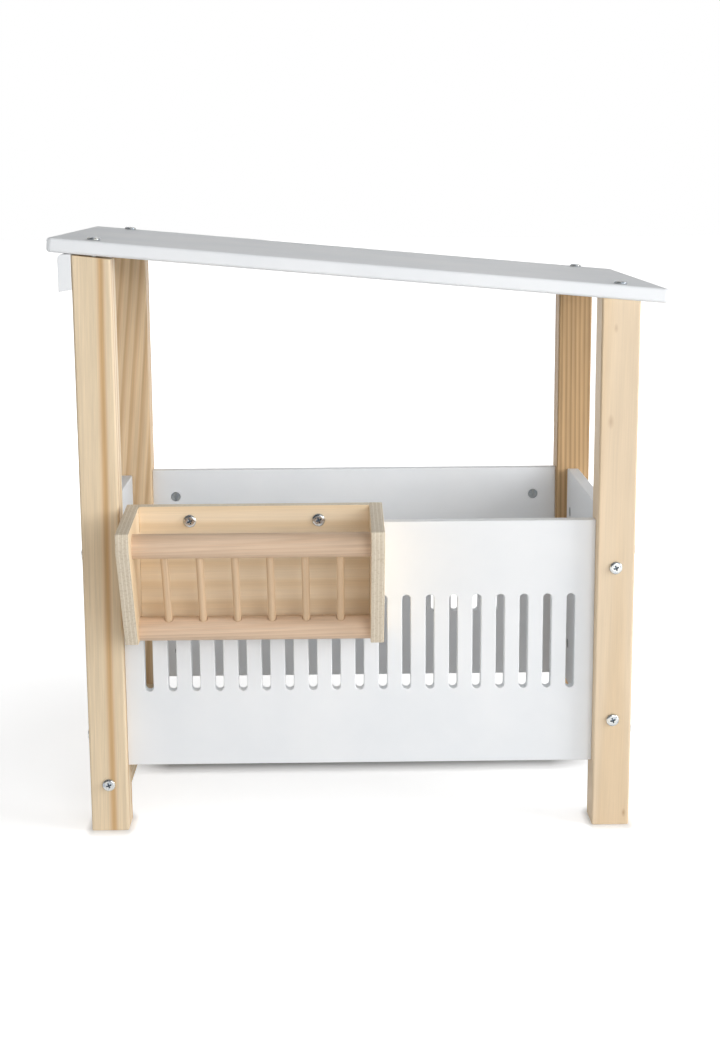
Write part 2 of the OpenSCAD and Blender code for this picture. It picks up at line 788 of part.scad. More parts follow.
module rack_screws() color(zinc) place()
    at_rack_screws() pan_screw(rack_screw_d, rack_screw_len, rack_screw_head_d, bolt_head_h);

// ---- the nodes ----

roof_panel();
roof_bolts();
header_board();
header_screws();
post_front_left();
post_rear_left();
post_front_right();
post_rear_right();
front_side_panel();
rear_side_panel();
right_end_panel();
bottom_cross_rail();
side_panel_bolts();
side_panel_barrel_nuts();
end_panel_bolts();
end_panel_barrel_nuts();
rail_bolts();
rail_barrel_nuts();
hinge_post_leaves();
hinge_pins();
hinge_post_screws();
front_door_leaf();
front_door_hinge_leaves();
front_door_hinge_screws();
front_door_knob();
front_door_knob_screw();
turn_button();
turn_button_screw();
rear_door_leaf();
rear_door_hinge_leaves();
rear_door_hinge_screws();
rear_door_knob();
rear_door_knob_screw();
rack_back_board();
rack_left_bracket();
rack_right_bracket();
rack_top_rail();
rack_bottom_rail();
rack_spindles();
rack_bolts();
rack_sleeves();
rack_rear_cleat();
rack_insert_nuts();
rack_screws();
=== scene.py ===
# %% [markdown]
# # A toy barn in painted board, pine and beech
# This lesson dresses a small wooden stable. A fixed frame already holds every piece at its real
# size. Each board, post and dowel is modelled again here from a primitive, in the same place, with
# the soft edges and the grain that make it look like wood, and it then stands for its plain twin.

import itertools
import math

import bpy
import numpy as np
from mathutils import Matrix, Vector


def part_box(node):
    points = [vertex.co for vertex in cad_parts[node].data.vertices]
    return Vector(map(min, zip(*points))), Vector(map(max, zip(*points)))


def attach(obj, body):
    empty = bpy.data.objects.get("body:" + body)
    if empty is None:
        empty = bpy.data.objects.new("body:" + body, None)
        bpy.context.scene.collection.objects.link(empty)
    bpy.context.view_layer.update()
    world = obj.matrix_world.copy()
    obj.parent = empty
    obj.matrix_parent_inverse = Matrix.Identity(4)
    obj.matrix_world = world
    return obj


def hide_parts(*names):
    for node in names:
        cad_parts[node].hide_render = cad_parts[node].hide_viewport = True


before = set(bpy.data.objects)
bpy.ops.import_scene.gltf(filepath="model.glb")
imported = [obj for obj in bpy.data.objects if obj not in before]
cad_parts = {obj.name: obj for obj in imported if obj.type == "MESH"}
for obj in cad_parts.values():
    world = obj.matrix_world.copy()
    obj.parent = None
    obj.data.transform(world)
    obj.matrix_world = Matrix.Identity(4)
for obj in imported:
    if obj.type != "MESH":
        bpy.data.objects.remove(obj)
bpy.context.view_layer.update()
MM = 0.001
print("frame loaded with", len(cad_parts), "nodes")

# %% [markdown]
# The work is all in a few moves, so they come first as helpers. A new primitive is selected all
# over and operators act on what is selected, so everything is deselected before one is added. A
# finished piece keeps its place in its mesh, which is what applying the transform does.

# %% Helpers for selecting and settling
def deselect():
    bpy.ops.object.select_all(action="DESELECT")


def only(piece):
    """Makes this the one selected and active object."""
    deselect()
    piece.select_set(True)
    bpy.context.view_layer.objects.active = piece


def settle(piece, name=None):
    """Writes the object's place, turn and size into its mesh."""
    only(piece)
    bpy.ops.object.transform_apply(location=True, rotation=True, scale=True)
    if name:
        piece.name = piece.data.name = name
    return piece


def board(name, low, high):
    """A cube primitive added at its size and place, between two corners."""
    low, high = Vector(low), Vector(high)
    deselect()
    bpy.ops.mesh.primitive_cube_add(size=1, location=(low + high) / 2, scale=high - low)
    return settle(bpy.context.active_object, name)


def rod(name, start, end, radius, sides=48):
    """A cylinder primitive that runs from one point to another."""
    start, end = Vector(start), Vector(end)
    turn = (end - start).to_track_quat("Z", "Y").to_euler()
    deselect()
    bpy.ops.mesh.primitive_cylinder_add(vertices=sides, radius=radius, depth=(end - start).length,
                                        location=(start + end) / 2, rotation=turn)
    return settle(bpy.context.active_object, name)


def joined(pieces, name):
    """Several objects made into one."""
    only(pieces[0])
    for piece in pieces[1:]:
        piece.select_set(True)
    if len(pieces) > 1:
        bpy.ops.object.join()
    joined_piece = bpy.context.active_object
    joined_piece.name = joined_piece.data.name = name
    return joined_piece


def copy_to(piece, matrix):
    """A copy with its own mesh, put where the matrix says."""
    twin = piece.copy()
    twin.data = piece.data.copy()
    bpy.context.scene.collection.objects.link(twin)
    twin.data.transform(matrix)
    return twin


# %% Helpers for shaping in edit mode
NEAR = 0.01 * MM
SAME_PLACE = 0.002 * MM


def pick_edges(piece, wanted):
    """Opens the piece in edit mode with only the edges selected that wanted(a, b) accepts."""
    only(piece)
    bpy.context.tool_settings.mesh_select_mode = (False, True, False)
    mesh = piece.data
    for group in (mesh.vertices, mesh.edges, mesh.polygons):
        group.foreach_set("select", [False] * len(group))
    for edge in mesh.edges:
        a, b = (mesh.vertices[i].co for i in edge.vertices)
        edge.select = wanted(a, b)
    bpy.ops.object.mode_set(mode="EDIT")


def back_to_object():
    bpy.ops.object.mode_set(mode="OBJECT")


def round_edges(piece, wanted, radius, segments=4):
    """Bevels the wanted edges round, as a router does."""
    pick_edges(piece, wanted)
    bpy.ops.mesh.bevel(offset=radius, segments=segments, affect="EDGES")
    back_to_object()


def saw(piece, point, normal):
    """Cuts off all that lies on the normal's side of a plane, and closes the cut."""
    only(piece)
    bpy.ops.object.mode_set(mode="EDIT")
    bpy.ops.mesh.select_all(action="SELECT")
    bpy.ops.mesh.bisect(plane_co=point, plane_no=normal, use_fill=True, clear_outer=True)
    bpy.ops.mesh.select_all(action="SELECT")
    bpy.ops.mesh.remove_doubles(threshold=SAME_PLACE)
    back_to_object()


def drill(piece, cutters):
    """Takes the cutters' shapes out of the piece, and leaves their material on the cut."""
    if not cutters:
        return
    cutter = joined(cutters, "cutter")
    only(piece)
    bpy.ops.object.modifier_add(type="BOOLEAN")
    boolean = piece.modifiers[-1]
    boolean.operation, boolean.solver, boolean.object = "DIFFERENCE", "EXACT", cutter
    boolean.material_mode = "TRANSFER"
    bpy.ops.object.modifier_apply(modifier=boolean.name)
    bpy.data.objects.remove(cutter, do_unlink=True)


def ease(piece, radius, segments=3, sharper_than=40):
    """Breaks every sharp edge with a small round, and lets flat faces stay flat."""
    only(piece)
    if radius > 0:
        bpy.ops.object.modifier_add(type="BEVEL")
        bevel = piece.modifiers[-1]
        bevel.width, bevel.segments = radius, segments
        bevel.limit_method, bevel.angle_limit = "ANGLE", math.radians(sharper_than)
        bpy.ops.object.modifier_apply(modifier=bevel.name)
    bpy.ops.object.shade_smooth()
    bpy.ops.object.modifier_add(type="WEIGHTED_NORMAL")
    bpy.ops.object.modifier_apply(modifier=piece.modifiers[-1].name)


def open_edges(piece):
    """How many edges don't have a face on both sides: 0 on a closed solid."""
    edge_of_corner = np.zeros(len(piece.data.loops), int)
    piece.data.loops.foreach_get("edge_index", edge_of_corner)
    faces_on = np.bincount(edge_of_corner, minlength=len(piece.data.edges))
    return int((faces_on != 2).sum())


def done(piece, material, body, slot, *nodes):
    """Gives a piece its finish and its body, and lets it stand for its plain twins."""
    if material:
        piece.data.materials.clear()
        piece.data.materials.append(material)
    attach(piece, body)
    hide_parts(*nodes)
    print(f"{piece.name}: {len(piece.data.polygons)} faces, {open_edges(piece)} open edges")


# %% [markdown]
# ## The camera
# The photograph was taken from in front, a little left of the middle and about level with the
# roof, looking slightly down. The camera is put there before anything else, so that each piece can
# be judged from the same place.

# %% The camera
CAMERA_AT = Vector((-25.76, -1716.02, 610.88)) * MM
CAMERA_TURN_RIGHT = 0.0155
CAMERA_LOOK_UP = -0.1973
CAMERA_ROLL = -0.0063
FOCAL_PIXELS = 1765.76
LONG_SIDE_PIXELS = 1051
SENSOR = 36
CLIP_NEAR = 0.05
CLIP_FAR = 50

camera_data = bpy.data.cameras.new("camera")
camera_data.sensor_width = SENSOR
camera_data.lens = FOCAL_PIXELS * SENSOR / LONG_SIDE_PIXELS
camera_data.clip_start, camera_data.clip_end = CLIP_NEAR, CLIP_FAR
camera = bpy.data.objects.new("camera", camera_data)
bpy.context.scene.collection.objects.link(camera)
camera.matrix_world = (
    Matrix.Translation(CAMERA_AT)
    @ Matrix.Rotation(-CAMERA_TURN_RIGHT, 4, "Z")
    @ Matrix.Rotation(math.pi / 2 + CAMERA_LOOK_UP, 4, "X")
    @ Matrix.Rotation(CAMERA_ROLL, 4, "Z")
)
bpy.context.scene.camera = camera
print("camera with a lens of", round(camera_data.lens, 2), "mm")

# %% [markdown]
# ## Building a finish from nodes
# Each finish is a small tree of nodes that reads Object coordinates, so the pattern sits in the
# wood and not on the screen. `Finish` keeps the writing short: it adds a node, sets or links its
# sockets, and hands back the node.

# %% A short way to write node trees
class Tree:
    """Adds nodes to a tree and links them."""
    def __init__(self, tree):
        self.nodes, self.links = tree.nodes, tree.links

    def put(self, socket, value):
        """Links a socket, or sets a constant on it."""
        if isinstance(value, bpy.types.NodeSocket):
            self.links.new(value, socket)
        else:
            socket.default_value = value

    def add(self, kind, settings=None, **sockets):
        node = self.nodes.new("ShaderNode" + kind)
        for name, value in (settings or {}).items():
            setattr(node, name, value)
        for name, value in sockets.items():
            self.put(node.inputs[name.replace("_", " ")], value)
        return node

    def math(self, operation, a, b=0.0, c=0.0):
        node = self.nodes.new("ShaderNodeMath")
        node.operation = operation
        for socket, value in zip(node.inputs, (a, b, c)):
            self.put(socket, value)
        return node.outputs[0]

    def mix(self, factor, a, b, blend="MIX"):
        node = self.nodes.new("ShaderNodeMix")
        node.data_type, node.blend_type = "RGBA", blend
        self.put(node.inputs["Factor"], factor)
        self.put([s for s in node.inputs if s.name == "A" and s.type == "RGBA"][0], a)
        self.put([s for s in node.inputs if s.name == "B" and s.type == "RGBA"][0], b)
        return [s for s in node.outputs if s.type == "RGBA"][0]

    def ramp(self, factor, stops):
        """A colour ramp through (position, colour) stops."""
        node = self.nodes.new("ShaderNodeValToRGB")
        elements = node.color_ramp.elements
        while len(elements) < len(stops):
            elements.new(0.5)
        for element, (position, colour) in zip(elements, stops):
            element.position, element.color = position, colour
        self.put(node.inputs["Fac"], factor)
        return node.outputs["Color"]

    def map_range(self, value, low, high, to_low, to_high):
        node = self.add("MapRange", Value=value, From_Min=low, From_Max=high, To_Min=to_low, To_Max=to_high)
        return node.outputs[0]

    def noise(self, vector, scale, detail=3.0, roughness=0.55):
        node = self.add("TexNoise", Vector=vector, Scale=scale, Detail=detail, Roughness=roughness)
        return node.outputs[0]

    def stretched(self, vector, scale, turn=(0, 0, 0), shift=(0, 0, 0)):
        return self.add("Mapping", Vector=vector, Scale=scale, Rotation=turn, Location=shift).outputs[0]


class Finish(Tree):
    """A material whose patterns sit in the object's own space."""
    def __init__(self, name):
        self.material = bpy.data.materials.new(name)
        self.material.use_nodes = True
        super().__init__(self.material.node_tree)
        self.shader = self.nodes["Principled BSDF"]
        self.place = self.nodes.new("ShaderNodeTexCoord").outputs["Object"]

    def bump(self, height, distance, strength=1.0):
        node = self.add("Bump", Height=height, Distance=distance, Strength=strength)
        self.put(self.shader.inputs["Normal"], node.outputs[0])


def colour(red, green, blue):
    """A colour as a picture shows it, 0 to 255, turned into the linear light a shader wants."""
    def linear(value):
        value /= 255
        return value / 12.92 if value <= 0.04045 else ((value + 0.055) / 1.055) ** 2.4
    return (linear(red), linear(green), linear(blue), 1.0)


# %% [markdown]
# ## White painted board
# The walls, doors and roof are fibreboard with a sprayed white paint. Paint like this isn't a flat
# white: it has a faint pebble from the spray gun, a slightly uneven gloss, and tiny specks.

# %% White paint
PAINT_WHITE = colour(242, 244, 246)
PAINT_GREY = colour(236, 239, 242)
PAINT_ROUGH = (0.5, 0.6)
PAINT_SPECULAR = 0.2
PAINT_CLOUDS = 9       # the scales of the noises, per metre
SPRAY_PEBBLE = 700
PEBBLE_HEIGHT = 0.06 * MM


def white_paint():
    finish = Finish("white_paint")
    cloud = finish.noise(finish.place, PAINT_CLOUDS, 4)
    tone = finish.mix(finish.map_range(cloud, 0.35, 0.65, 0, 1), PAINT_WHITE, PAINT_GREY)
    finish.put(finish.shader.inputs["Base Color"], tone)
    pebble = finish.noise(finish.place, SPRAY_PEBBLE, 2)
    finish.put(finish.shader.inputs["Roughness"], finish.map_range(pebble, 0.3, 0.7, *PAINT_ROUGH))
    finish.put(finish.shader.inputs["Specular IOR Level"], PAINT_SPECULAR)
    finish.bump(pebble, PEBBLE_HEIGHT, 0.5)
    return finish.material


paint = white_paint()
print("white paint made")

# %% [markdown]
# ## Solid wood
# A board shows the growth rings of the trunk it was sawn from. The rings are cylinders round the
# pith, so the grain is a wave of rings whose axis runs along the board, set off to one side by the
# distance of the pith and leaned a little, which draws the long arches on a flat face. Fine fibres
# and a slow change of tone lie over the rings. The same tree makes pine and beech: only the ring
# width, the colours and the depth of the dark late wood change.

# %% Wood from rings, fibres and tone
RING_WAVE = math.tau / 20      # the wave texture's period at a scale of 1
FIBRES = 850                   # the scales of the noises, per metre
STREAKS = 150
SLOW_TONE = 22
TONE_CHANGE = 0.05
WOOD_ROUGH = (0.5, 0.62)
WOOD_SPECULAR = 0.3
GRAIN_HEIGHT = 0.1 * MM
KNOT_BROWN = colour(150, 105, 62)
BLACK = (0, 0, 0, 1)
WHITE = (1, 1, 1, 1)
ALONG = {"Z": (0, 0, 0), "X": (0, math.pi / 2, 0), "Y": (math.pi / 2, 0, 0)}


def grain(finish, pale, late, ring, pith, lean=(0, 0, 0), along="Z", waviness=1.2, contrast=1.0,
          fibre=0.12, stretch=0.09, streak=0.05, late_from=0.2):
    """Colour and height of sawn wood. ring and pith are in metres, lean in radians, and late_from
    is the share of a ring after which its late wood begins."""
    lined_up = finish.stretched(finish.place, (1, 1, 1), turn=ALONG[along])
    leaned = finish.stretched(lined_up, (1, 1, 1), turn=lean)
    trunk = finish.stretched(leaned, (1, 1, stretch), shift=(-pith[0], -pith[1], pith[2]))
    rings = finish.add("TexWave", {"wave_type": "RINGS", "rings_direction": "Z", "wave_profile": "SAW"},
                       Vector=trunk, Scale=RING_WAVE / ring, Distortion=waviness, Detail=2.0,
                       Detail_Scale=0.35, Detail_Roughness=0.5).outputs["Fac"]
    soft = finish.ramp(rings, [(late_from, BLACK), (0.75, WHITE), (1.0, BLACK)])
    soft.node.color_ramp.interpolation = "EASE"
    late_wood = finish.math("MULTIPLY", soft, contrast)
    wood_colour = finish.mix(late_wood, pale, late)
    fibre_place = finish.stretched(leaned, (1, 1, 0.02))
    fibres = finish.noise(fibre_place, FIBRES, 4, 0.6)
    streaks = finish.noise(finish.stretched(leaned, (1, 1, 0.03)), STREAKS, 3)
    slow = finish.noise(finish.stretched(leaned, (1, 1, 0.2)), SLOW_TONE, 2)
    shade = finish.math("ADD", finish.map_range(fibres, 0.3, 0.7, 1 - fibre, 1 + fibre * 0.3),
                        finish.map_range(streaks, 0.3, 0.7, -streak, streak))
    shade = finish.math("ADD", shade, finish.map_range(slow, 0.35, 0.65, -TONE_CHANGE, TONE_CHANGE))
    wood_colour = finish.mix(1.0, wood_colour, finish.add("CombineColor", Red=shade, Green=shade,
                                                          Blue=shade).outputs[0], "MULTIPLY")
    return wood_colour, fibres, late_wood


def solid_wood(name, knots=(), rough=WOOD_ROUGH, **look):
    """A wood finish. knots are (place, radius, darkness) of small dark pin knots."""
    finish = Finish(name)
    wood_colour, fibres, late_wood = grain(finish, **look)
    for place, radius, darkness in knots:
        offset = finish.add("VectorMath", {"operation": "SUBTRACT"}).outputs[0]
        finish.put(offset.node.inputs[0], finish.place)
        offset.node.inputs[1].default_value = place
        squeezed = finish.stretched(offset, (1, 1, 0.45))
        away = finish.add("VectorMath", {"operation": "LENGTH"})
        finish.put(away.inputs[0], squeezed)
        near = finish.map_range(away.outputs["Value"], 0, radius, darkness, 0)
        wood_colour = finish.mix(near, wood_colour, KNOT_BROWN)
    finish.put(finish.shader.inputs["Base Color"], wood_colour)
    finish.put(finish.shader.inputs["Roughness"], finish.map_range(fibres, 0.3, 0.7, *rough))
    finish.put(finish.shader.inputs["Specular IOR Level"], WOOD_SPECULAR)
    finish.bump(finish.math("ADD", fibres, finish.math("MULTIPLY", late_wood, 0.5)), GRAIN_HEIGHT, 0.35)
    return finish.material


# %% [markdown]
# ## Where the bolts go
# Bolts hold the barn together, and each passes through bored holes in the wood. A hole is drilled
# wherever a bolt crosses a piece, so the places of the bolts are worked out first, from the boxes
# of their twins: a head sits at each end of such a box.

# %% The slope of the roof
left_low, left_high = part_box("post_front_left")
right_low, right_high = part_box("post_front_right")
SLOPE = math.atan((left_high.z - right_high.z) / (right_low.x - left_low.x))
DOWN_SLOPE = Vector((math.cos(SLOPE), 0, -math.sin(SLOPE)))
ROOF_UP = Vector((math.sin(SLOPE), 0, math.cos(SLOPE)))
print("roof falls", round(math.degrees(SLOPE), 2), "degrees")


def reach(node, direction):
    """How far a node reaches along a direction: the lowest and the highest value."""
    along = [vertex.co.dot(direction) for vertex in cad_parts[node].data.vertices]
    return min(along), max(along)


# %% The places of the bolts
HEAD_HEIGHT = 2.7 * MM
HEAD_RADIUS = 6 * MM
BORE_RADIUS = 3.25 * MM
WALL_BOLT = 64.5 * MM
HOLE_SIDES = 32
OUTWARDS = {
    "left": Vector((-1, 0, 0)), "right": Vector((1, 0, 0)),
    "front": Vector((0, -1, 0)), "rear": Vector((0, 1, 0)), "roof": ROOF_UP,
}


def middles(low, high, radius):
    """The middles of the round things that fill a stretch from end to end: one, or two."""
    if high - low < 3 * radius:
        return [(low + high) / 2]
    return [low + radius, high - radius]


def heads(node, axis, ways):
    """(place, way) of the bolts of a node whose heads sit at the ends of its box along an axis."""
    low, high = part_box(node)
    spots = [middles(low[i], high[i], HEAD_RADIUS) for i in range(3)]
    ends = {low[axis] + HEAD_HEIGHT: ways[0], high[axis] - HEAD_HEIGHT: ways[1]}
    spots[axis] = [end for end, way in ends.items() if way]
    return [(Vector(at), ends[at[axis]]) for at in itertools.product(*spots)]


def roof_heads():
    """(place, way) of the bolts that go down through the roof into the posts."""
    rear_low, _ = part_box("post_rear_left")
    half = (left_high.x - left_low.x) / 2
    _, top = reach("roof_panel", ROOF_UP)
    places = []
    for x in (left_low.x + half, right_low.x + half):
        for y in (left_low.y + half, rear_low.y + half):
            along = DOWN_SLOPE * (x - left_low.x) / math.cos(SLOPE)
            under = Vector((left_low.x, y, left_high.z)) + along
            places.append((under + ROOF_UP * (top - under.dot(ROOF_UP)), "roof"))
    return places


rack_bolt_low, rack_bolt_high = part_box("rack_bolts")
roof_bolt_low, roof_bolt_high = reach("roof_bolts", ROOF_UP)
BOLTS = {
    "side_panel_bolts": (heads("side_panel_bolts", 0, ("left", "right")), WALL_BOLT),
    "end_panel_bolts": (heads("end_panel_bolts", 1, ("front", "rear")), WALL_BOLT),
    "rail_bolts": (heads("rail_bolts", 1, ("front", "rear")), WALL_BOLT),
    "rack_bolts": (heads("rack_bolts", 1, ("front", None)),
                   rack_bolt_high.y - rack_bolt_low.y - HEAD_HEIGHT),
    "roof_bolts": (roof_heads(), roof_bolt_high - roof_bolt_low - HEAD_HEIGHT),
}
print({node: len(places) for node, (places, length) in BOLTS.items()})


# %% Boring the holes for them
PROBE = 4 * MM


def bore(piece, *more):
    """Bores the piece wherever a bolt passes through its box, and cuts more besides."""
    corners = np.array([vertex.co for vertex in piece.data.vertices])
    low, high = corners.min(axis=0), corners.max(axis=0)
    cutters = list(more)
    for places, length in BOLTS.values():
        for at, way in places:
            out = OUTWARDS[way]
            steps = [np.array(at - out * PROBE * i) for i in range(1, int(length / PROBE))]
            if any((low < step).all() and (step < high).all() for step in steps):
                cutters.append(rod("bore", at + out * MM, at - out * (length + MM), BORE_RADIUS, HOLE_SIDES))
    drill(piece, cutters)
    ease(piece, 0)


# %% [markdown]
# ## The four posts
# Each post is a length of square planed pine. It starts as a cube at its full height, the saw cuts
# its top to the slope of the roof, the router rounds its four long edges, and the foot gets a small
# chamfer so that it doesn't splinter. The slope is measured from the tops of the left and right
# posts in the frame. Every post comes from another board, so each has its own pith and rings.

# %% Making a post
POST_ROUND = 2 * MM
FOOT_CHAMFER = 1 * MM


def upright(a, b):
    return (a - b).xy.length < NEAR


def post(name, node, material, gap=(0, 0)):
    """A post. gap is how far its top stays under the roof at its left and right edge."""
    low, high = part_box(node)
    piece = board(name, low, high)
    twist = math.atan((gap[1] - gap[0]) / (high.x - low.x))
    cut_normal = Matrix.Rotation(-twist, 3, "Y") @ ROOF_UP
    saw(piece, (low.x, low.y, high.z - gap[0]), cut_normal)
    round_edges(piece, upright, POST_ROUND)
    round_edges(piece, lambda a, b: max(a.z, b.z) < NEAR, FOOT_CHAMFER, 2)
    bore(piece)
    done(piece, material, "frame", "pine", node)


# %% The pine of the left posts
front_left_pine = solid_wood(
    "pine_front_left", pale=colour(236, 215, 183), late=colour(204, 160, 104), ring=10 * MM,
    pith=(left_low.x - 8 * MM, left_low.y + 48 * MM, 0), lean=(0.004, -0.016, 0), waviness=3.2, contrast=0.8,
    streak=0.07, late_from=0.48)
post("front_left_post", "post_front_left", front_left_pine, gap=(1.25 * MM, 0.3 * MM))

rear_left_low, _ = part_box("post_rear_left")
rear_left_pine = solid_wood(
    "pine_rear_left", pale=colour(238, 209, 170), late=colour(206, 168, 124), ring=8.5 * MM,
    pith=(rear_left_low.x + 55 * MM, rear_left_low.y + 44 * MM, 0), lean=(0.0, -0.09, 0), waviness=4.0,
    contrast=0.75, streak=0.08)
post("rear_left_post", "post_rear_left", rear_left_pine)

# %% The pine of the right posts
front_right_pine = solid_wood(
    "pine_front_right", pale=colour(230, 209, 180), late=colour(218, 191, 153), ring=6 * MM,
    pith=(right_low.x + 20 * MM, right_low.y + 70 * MM, 0), lean=(0.006, -0.012, 0), waviness=1.8,
    contrast=0.5, fibre=0.06, streak=0.03,
    knots=[((right_low.x + 10 * MM, right_low.y, 387 * MM), 3.4 * MM, 0.35),
           ((right_low.x + 13 * MM, right_low.y, 472 * MM), 2.2 * MM, 0.3),
           ((right_low.x + 30 * MM, right_low.y, 12 * MM), 2.2 * MM, 0.55)])
post("front_right_post", "post_front_right", front_right_pine)

rear_right_low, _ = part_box("post_rear_right")
rear_right_pine = solid_wood(
    "pine_rear_right", pale=colour(196, 163, 121), late=colour(154, 120, 80), ring=4.6 * MM,
    pith=(rear_right_low.x - 45 * MM, rear_right_low.y + 25 * MM, 0), lean=(0.0, 0.010, 0), waviness=3.6,
    contrast=0.65, streak=0.12)
post("rear_right_post", "post_rear_right", rear_right_pine)

# %% [markdown]
# ## The wall boards
# The long walls have a row of upright slots. One slot cutter is a cylinder whose upper half is
# lifted in edit mode, so both ends stay round. It is copied along the board and all copies are
# drilled out at once, with the round pockets of the barrel nuts. The small round that `ease` then
# puts on every edge is what the paint would show.

# %% A slot cutter
SLOT_WIDTH = 8 * MM
SLOT_LENGTH = 91 * MM
SLOT_PITCH = 22 * MM
SLOT_UP = 72 * MM
NUT_HOLE = 5 * MM
NUT_RADIUS = 4.85 * MM
NUT_POCKET = 10.2 * MM
WALL_EASE = 0.9 * MM
CUT_SIDES = 40


def stadium(name, middle, length, width, depth, sides=CUT_SIDES):
    """An upright bar with round ends, lying through the board along y."""
    ahead = Vector((0, depth / 2, 0))
    piece = rod(name, middle - ahead, middle + ahead, width / 2, sides)
    stretch_bar(piece, middle.z, length - width)
    return piece


def stretch_bar(piece, middle, by):
    """Moves the upper half of a round bar up and the lower half down."""
    for direction in (1, -1):
        only(piece)
        mesh = piece.data
        bpy.context.tool_settings.mesh_select_mode = (True, False, False)
        for group in (mesh.vertices, mesh.edges, mesh.polygons):
            group.foreach_set("select", [False] * len(group))
        for vertex in mesh.vertices:
            vertex.select = direction * (vertex.co.z - middle) > 0
        bpy.ops.object.mode_set(mode="EDIT")
        bpy.ops.transform.translate(value=(0, 0, direction * by / 2))
        back_to_object()


def slot_cutters(low, high):
    middle = (low + high) / 2
    count = math.floor((high.x - low.x) / SLOT_PITCH) - 1
    first = stadium("slot", Vector((middle.x, middle.y, low.z + SLOT_UP + SLOT_LENGTH / 2)),
                    SLOT_LENGTH, SLOT_WIDTH, 3 * (high.y - low.y))
    steps = [(i - (count - 1) / 2) * SLOT_PITCH for i in range(count)]
    copies = [copy_to(first, Matrix.Translation((step, 0, 0))) for step in steps]
    bpy.data.objects.remove(first, do_unlink=True)
    return copies


# %% The three walls
def nut_pockets(nuts, face, into):
    """Cutters for barrel nuts let into a face. into points from the face into the wood."""
    low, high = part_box(nuts)
    spots = [middles(low[i], high[i], NUT_RADIUS) if into[i] == 0 else [face] for i in range(3)]
    return [rod("pocket", Vector(at) - into * MM, Vector(at) + into * NUT_POCKET, NUT_HOLE)
            for at in itertools.product(*spots)]


def wall(name, node, nuts, into, slotted=True):
    """A wall board. Its nuts are let into its inner face."""
    low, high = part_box(node)
    piece = board(name, low, high)
    into = Vector(into)
    axis = [abs(value) for value in into].index(1)
    face = low[axis] if into[axis] > 0 else high[axis]
    cutters = nut_pockets(nuts, face, into)
    if slotted:
        cutters += slot_cutters(low, high)
    drill(piece, cutters)
    ease(piece, WALL_EASE)
    bore(piece)
    done(piece, paint, "frame", "white_board", node)


wall("front_wall", "front_side_panel", "side_panel_barrel_nuts", (0, -1, 0))
wall("rear_wall", "rear_side_panel", "side_panel_barrel_nuts", (0, 1, 0))
wall("end_wall", "right_end_panel", "end_panel_barrel_nuts", (1, 0, 0), slotted=False)

# %% [markdown]
# ## Roof, header and threshold
# The roof is one painted board. It is built level, its four corners are rounded as seen from above
# and then the long edges, and only at the end is it tilted into its slope. How long, wide and thick
# it is comes from measuring its twin along the slope and square to it.

# %% The roof board
ROOF_CORNER = 5 * MM
ROOF_EDGE = 3 * MM

slope_start, slope_end = reach("roof_panel", DOWN_SLOPE)
under, over = reach("roof_panel", ROOF_UP)
front, back = reach("roof_panel", Vector((0, 1, 0)))
roof_board = board("roof_board", (slope_start, front, under), (slope_end, back, over))
round_edges(roof_board, upright, ROOF_CORNER)
ease(roof_board, ROOF_EDGE, 4, 50)
roof_board.data.transform(Matrix.Rotation(SLOPE, 4, "Y"))
bore(roof_board)
done(roof_board, paint, "frame", "white_board", "roof_panel")

# %% The header board over the doorway
HEADER_ROUND = 4 * MM
HEADER_BEVEL = 2 * MM
HEADER_EASE = 0.6 * MM
SCREW_HEAD_RADIUS = 3.5 * MM
SCREW_RADIUS = 1.75 * MM
SCREW_PAIR = 16 * MM
SCREW_CLEARANCE = 0.1 * MM
header_low, header_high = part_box("header_board")
header = board("header", header_low, header_high)


def lower_inner(a, b):
    return max(a.z, b.z) < header_low.z + NEAR and min(a.x, b.x) > header_high.x - NEAR


def upper_outer(a, b):
    return min(a.z, b.z) > header_high.z - NEAR and max(a.x, b.x) < header_low.x + NEAR


pick_edges(header, lower_inner)
bpy.ops.transform.translate(value=(0, 0, HEADER_BEVEL))
back_to_object()
round_edges(header, upper_outer, HEADER_ROUND, 5)
ease(header, HEADER_EASE)


def sunk_hole(at):
    """A cone for a countersunk screw that is driven in along x, from a place on the outer face."""
    deep = SCREW_HEAD_RADIUS - SCREW_RADIUS
    deselect()
    bpy.ops.mesh.primitive_cone_add(vertices=CUT_SIDES, radius1=SCREW_HEAD_RADIUS + SCREW_CLEARANCE + MM,
                                    radius2=SCREW_RADIUS + SCREW_CLEARANCE, depth=deep + MM,
                                    location=at + Vector(((deep - MM) / 2, 0, 0)),
                                    rotation=(0, math.pi / 2, 0))
    return settle(bpy.context.active_object, "cone")


screws_low, screws_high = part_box("header_screws")
screw_z = (screws_low.z + screws_high.z) / 2
near_y, far_y = middles(screws_low.y, screws_high.y, SCREW_HEAD_RADIUS)
screw_ys = (near_y, near_y + SCREW_PAIR, far_y - SCREW_PAIR, far_y)
screw_places = [Vector((header_low.x, y, screw_z)) for y in screw_ys]
right_through = Vector((header_high.x - header_low.x + MM, 0, 0))
screw_holes = [rod("hole", at, at + right_through, SCREW_RADIUS + SCREW_CLEARANCE, HOLE_SIDES)
               for at in screw_places]
for cutter in [sunk_hole(at) for at in screw_places] + screw_holes:
    drill(header, [cutter])
ease(header, 0)
done(header, paint, "frame", "white_board", "header_board")

# %% The threshold rail
THRESHOLD_EASE = 1.5 * MM

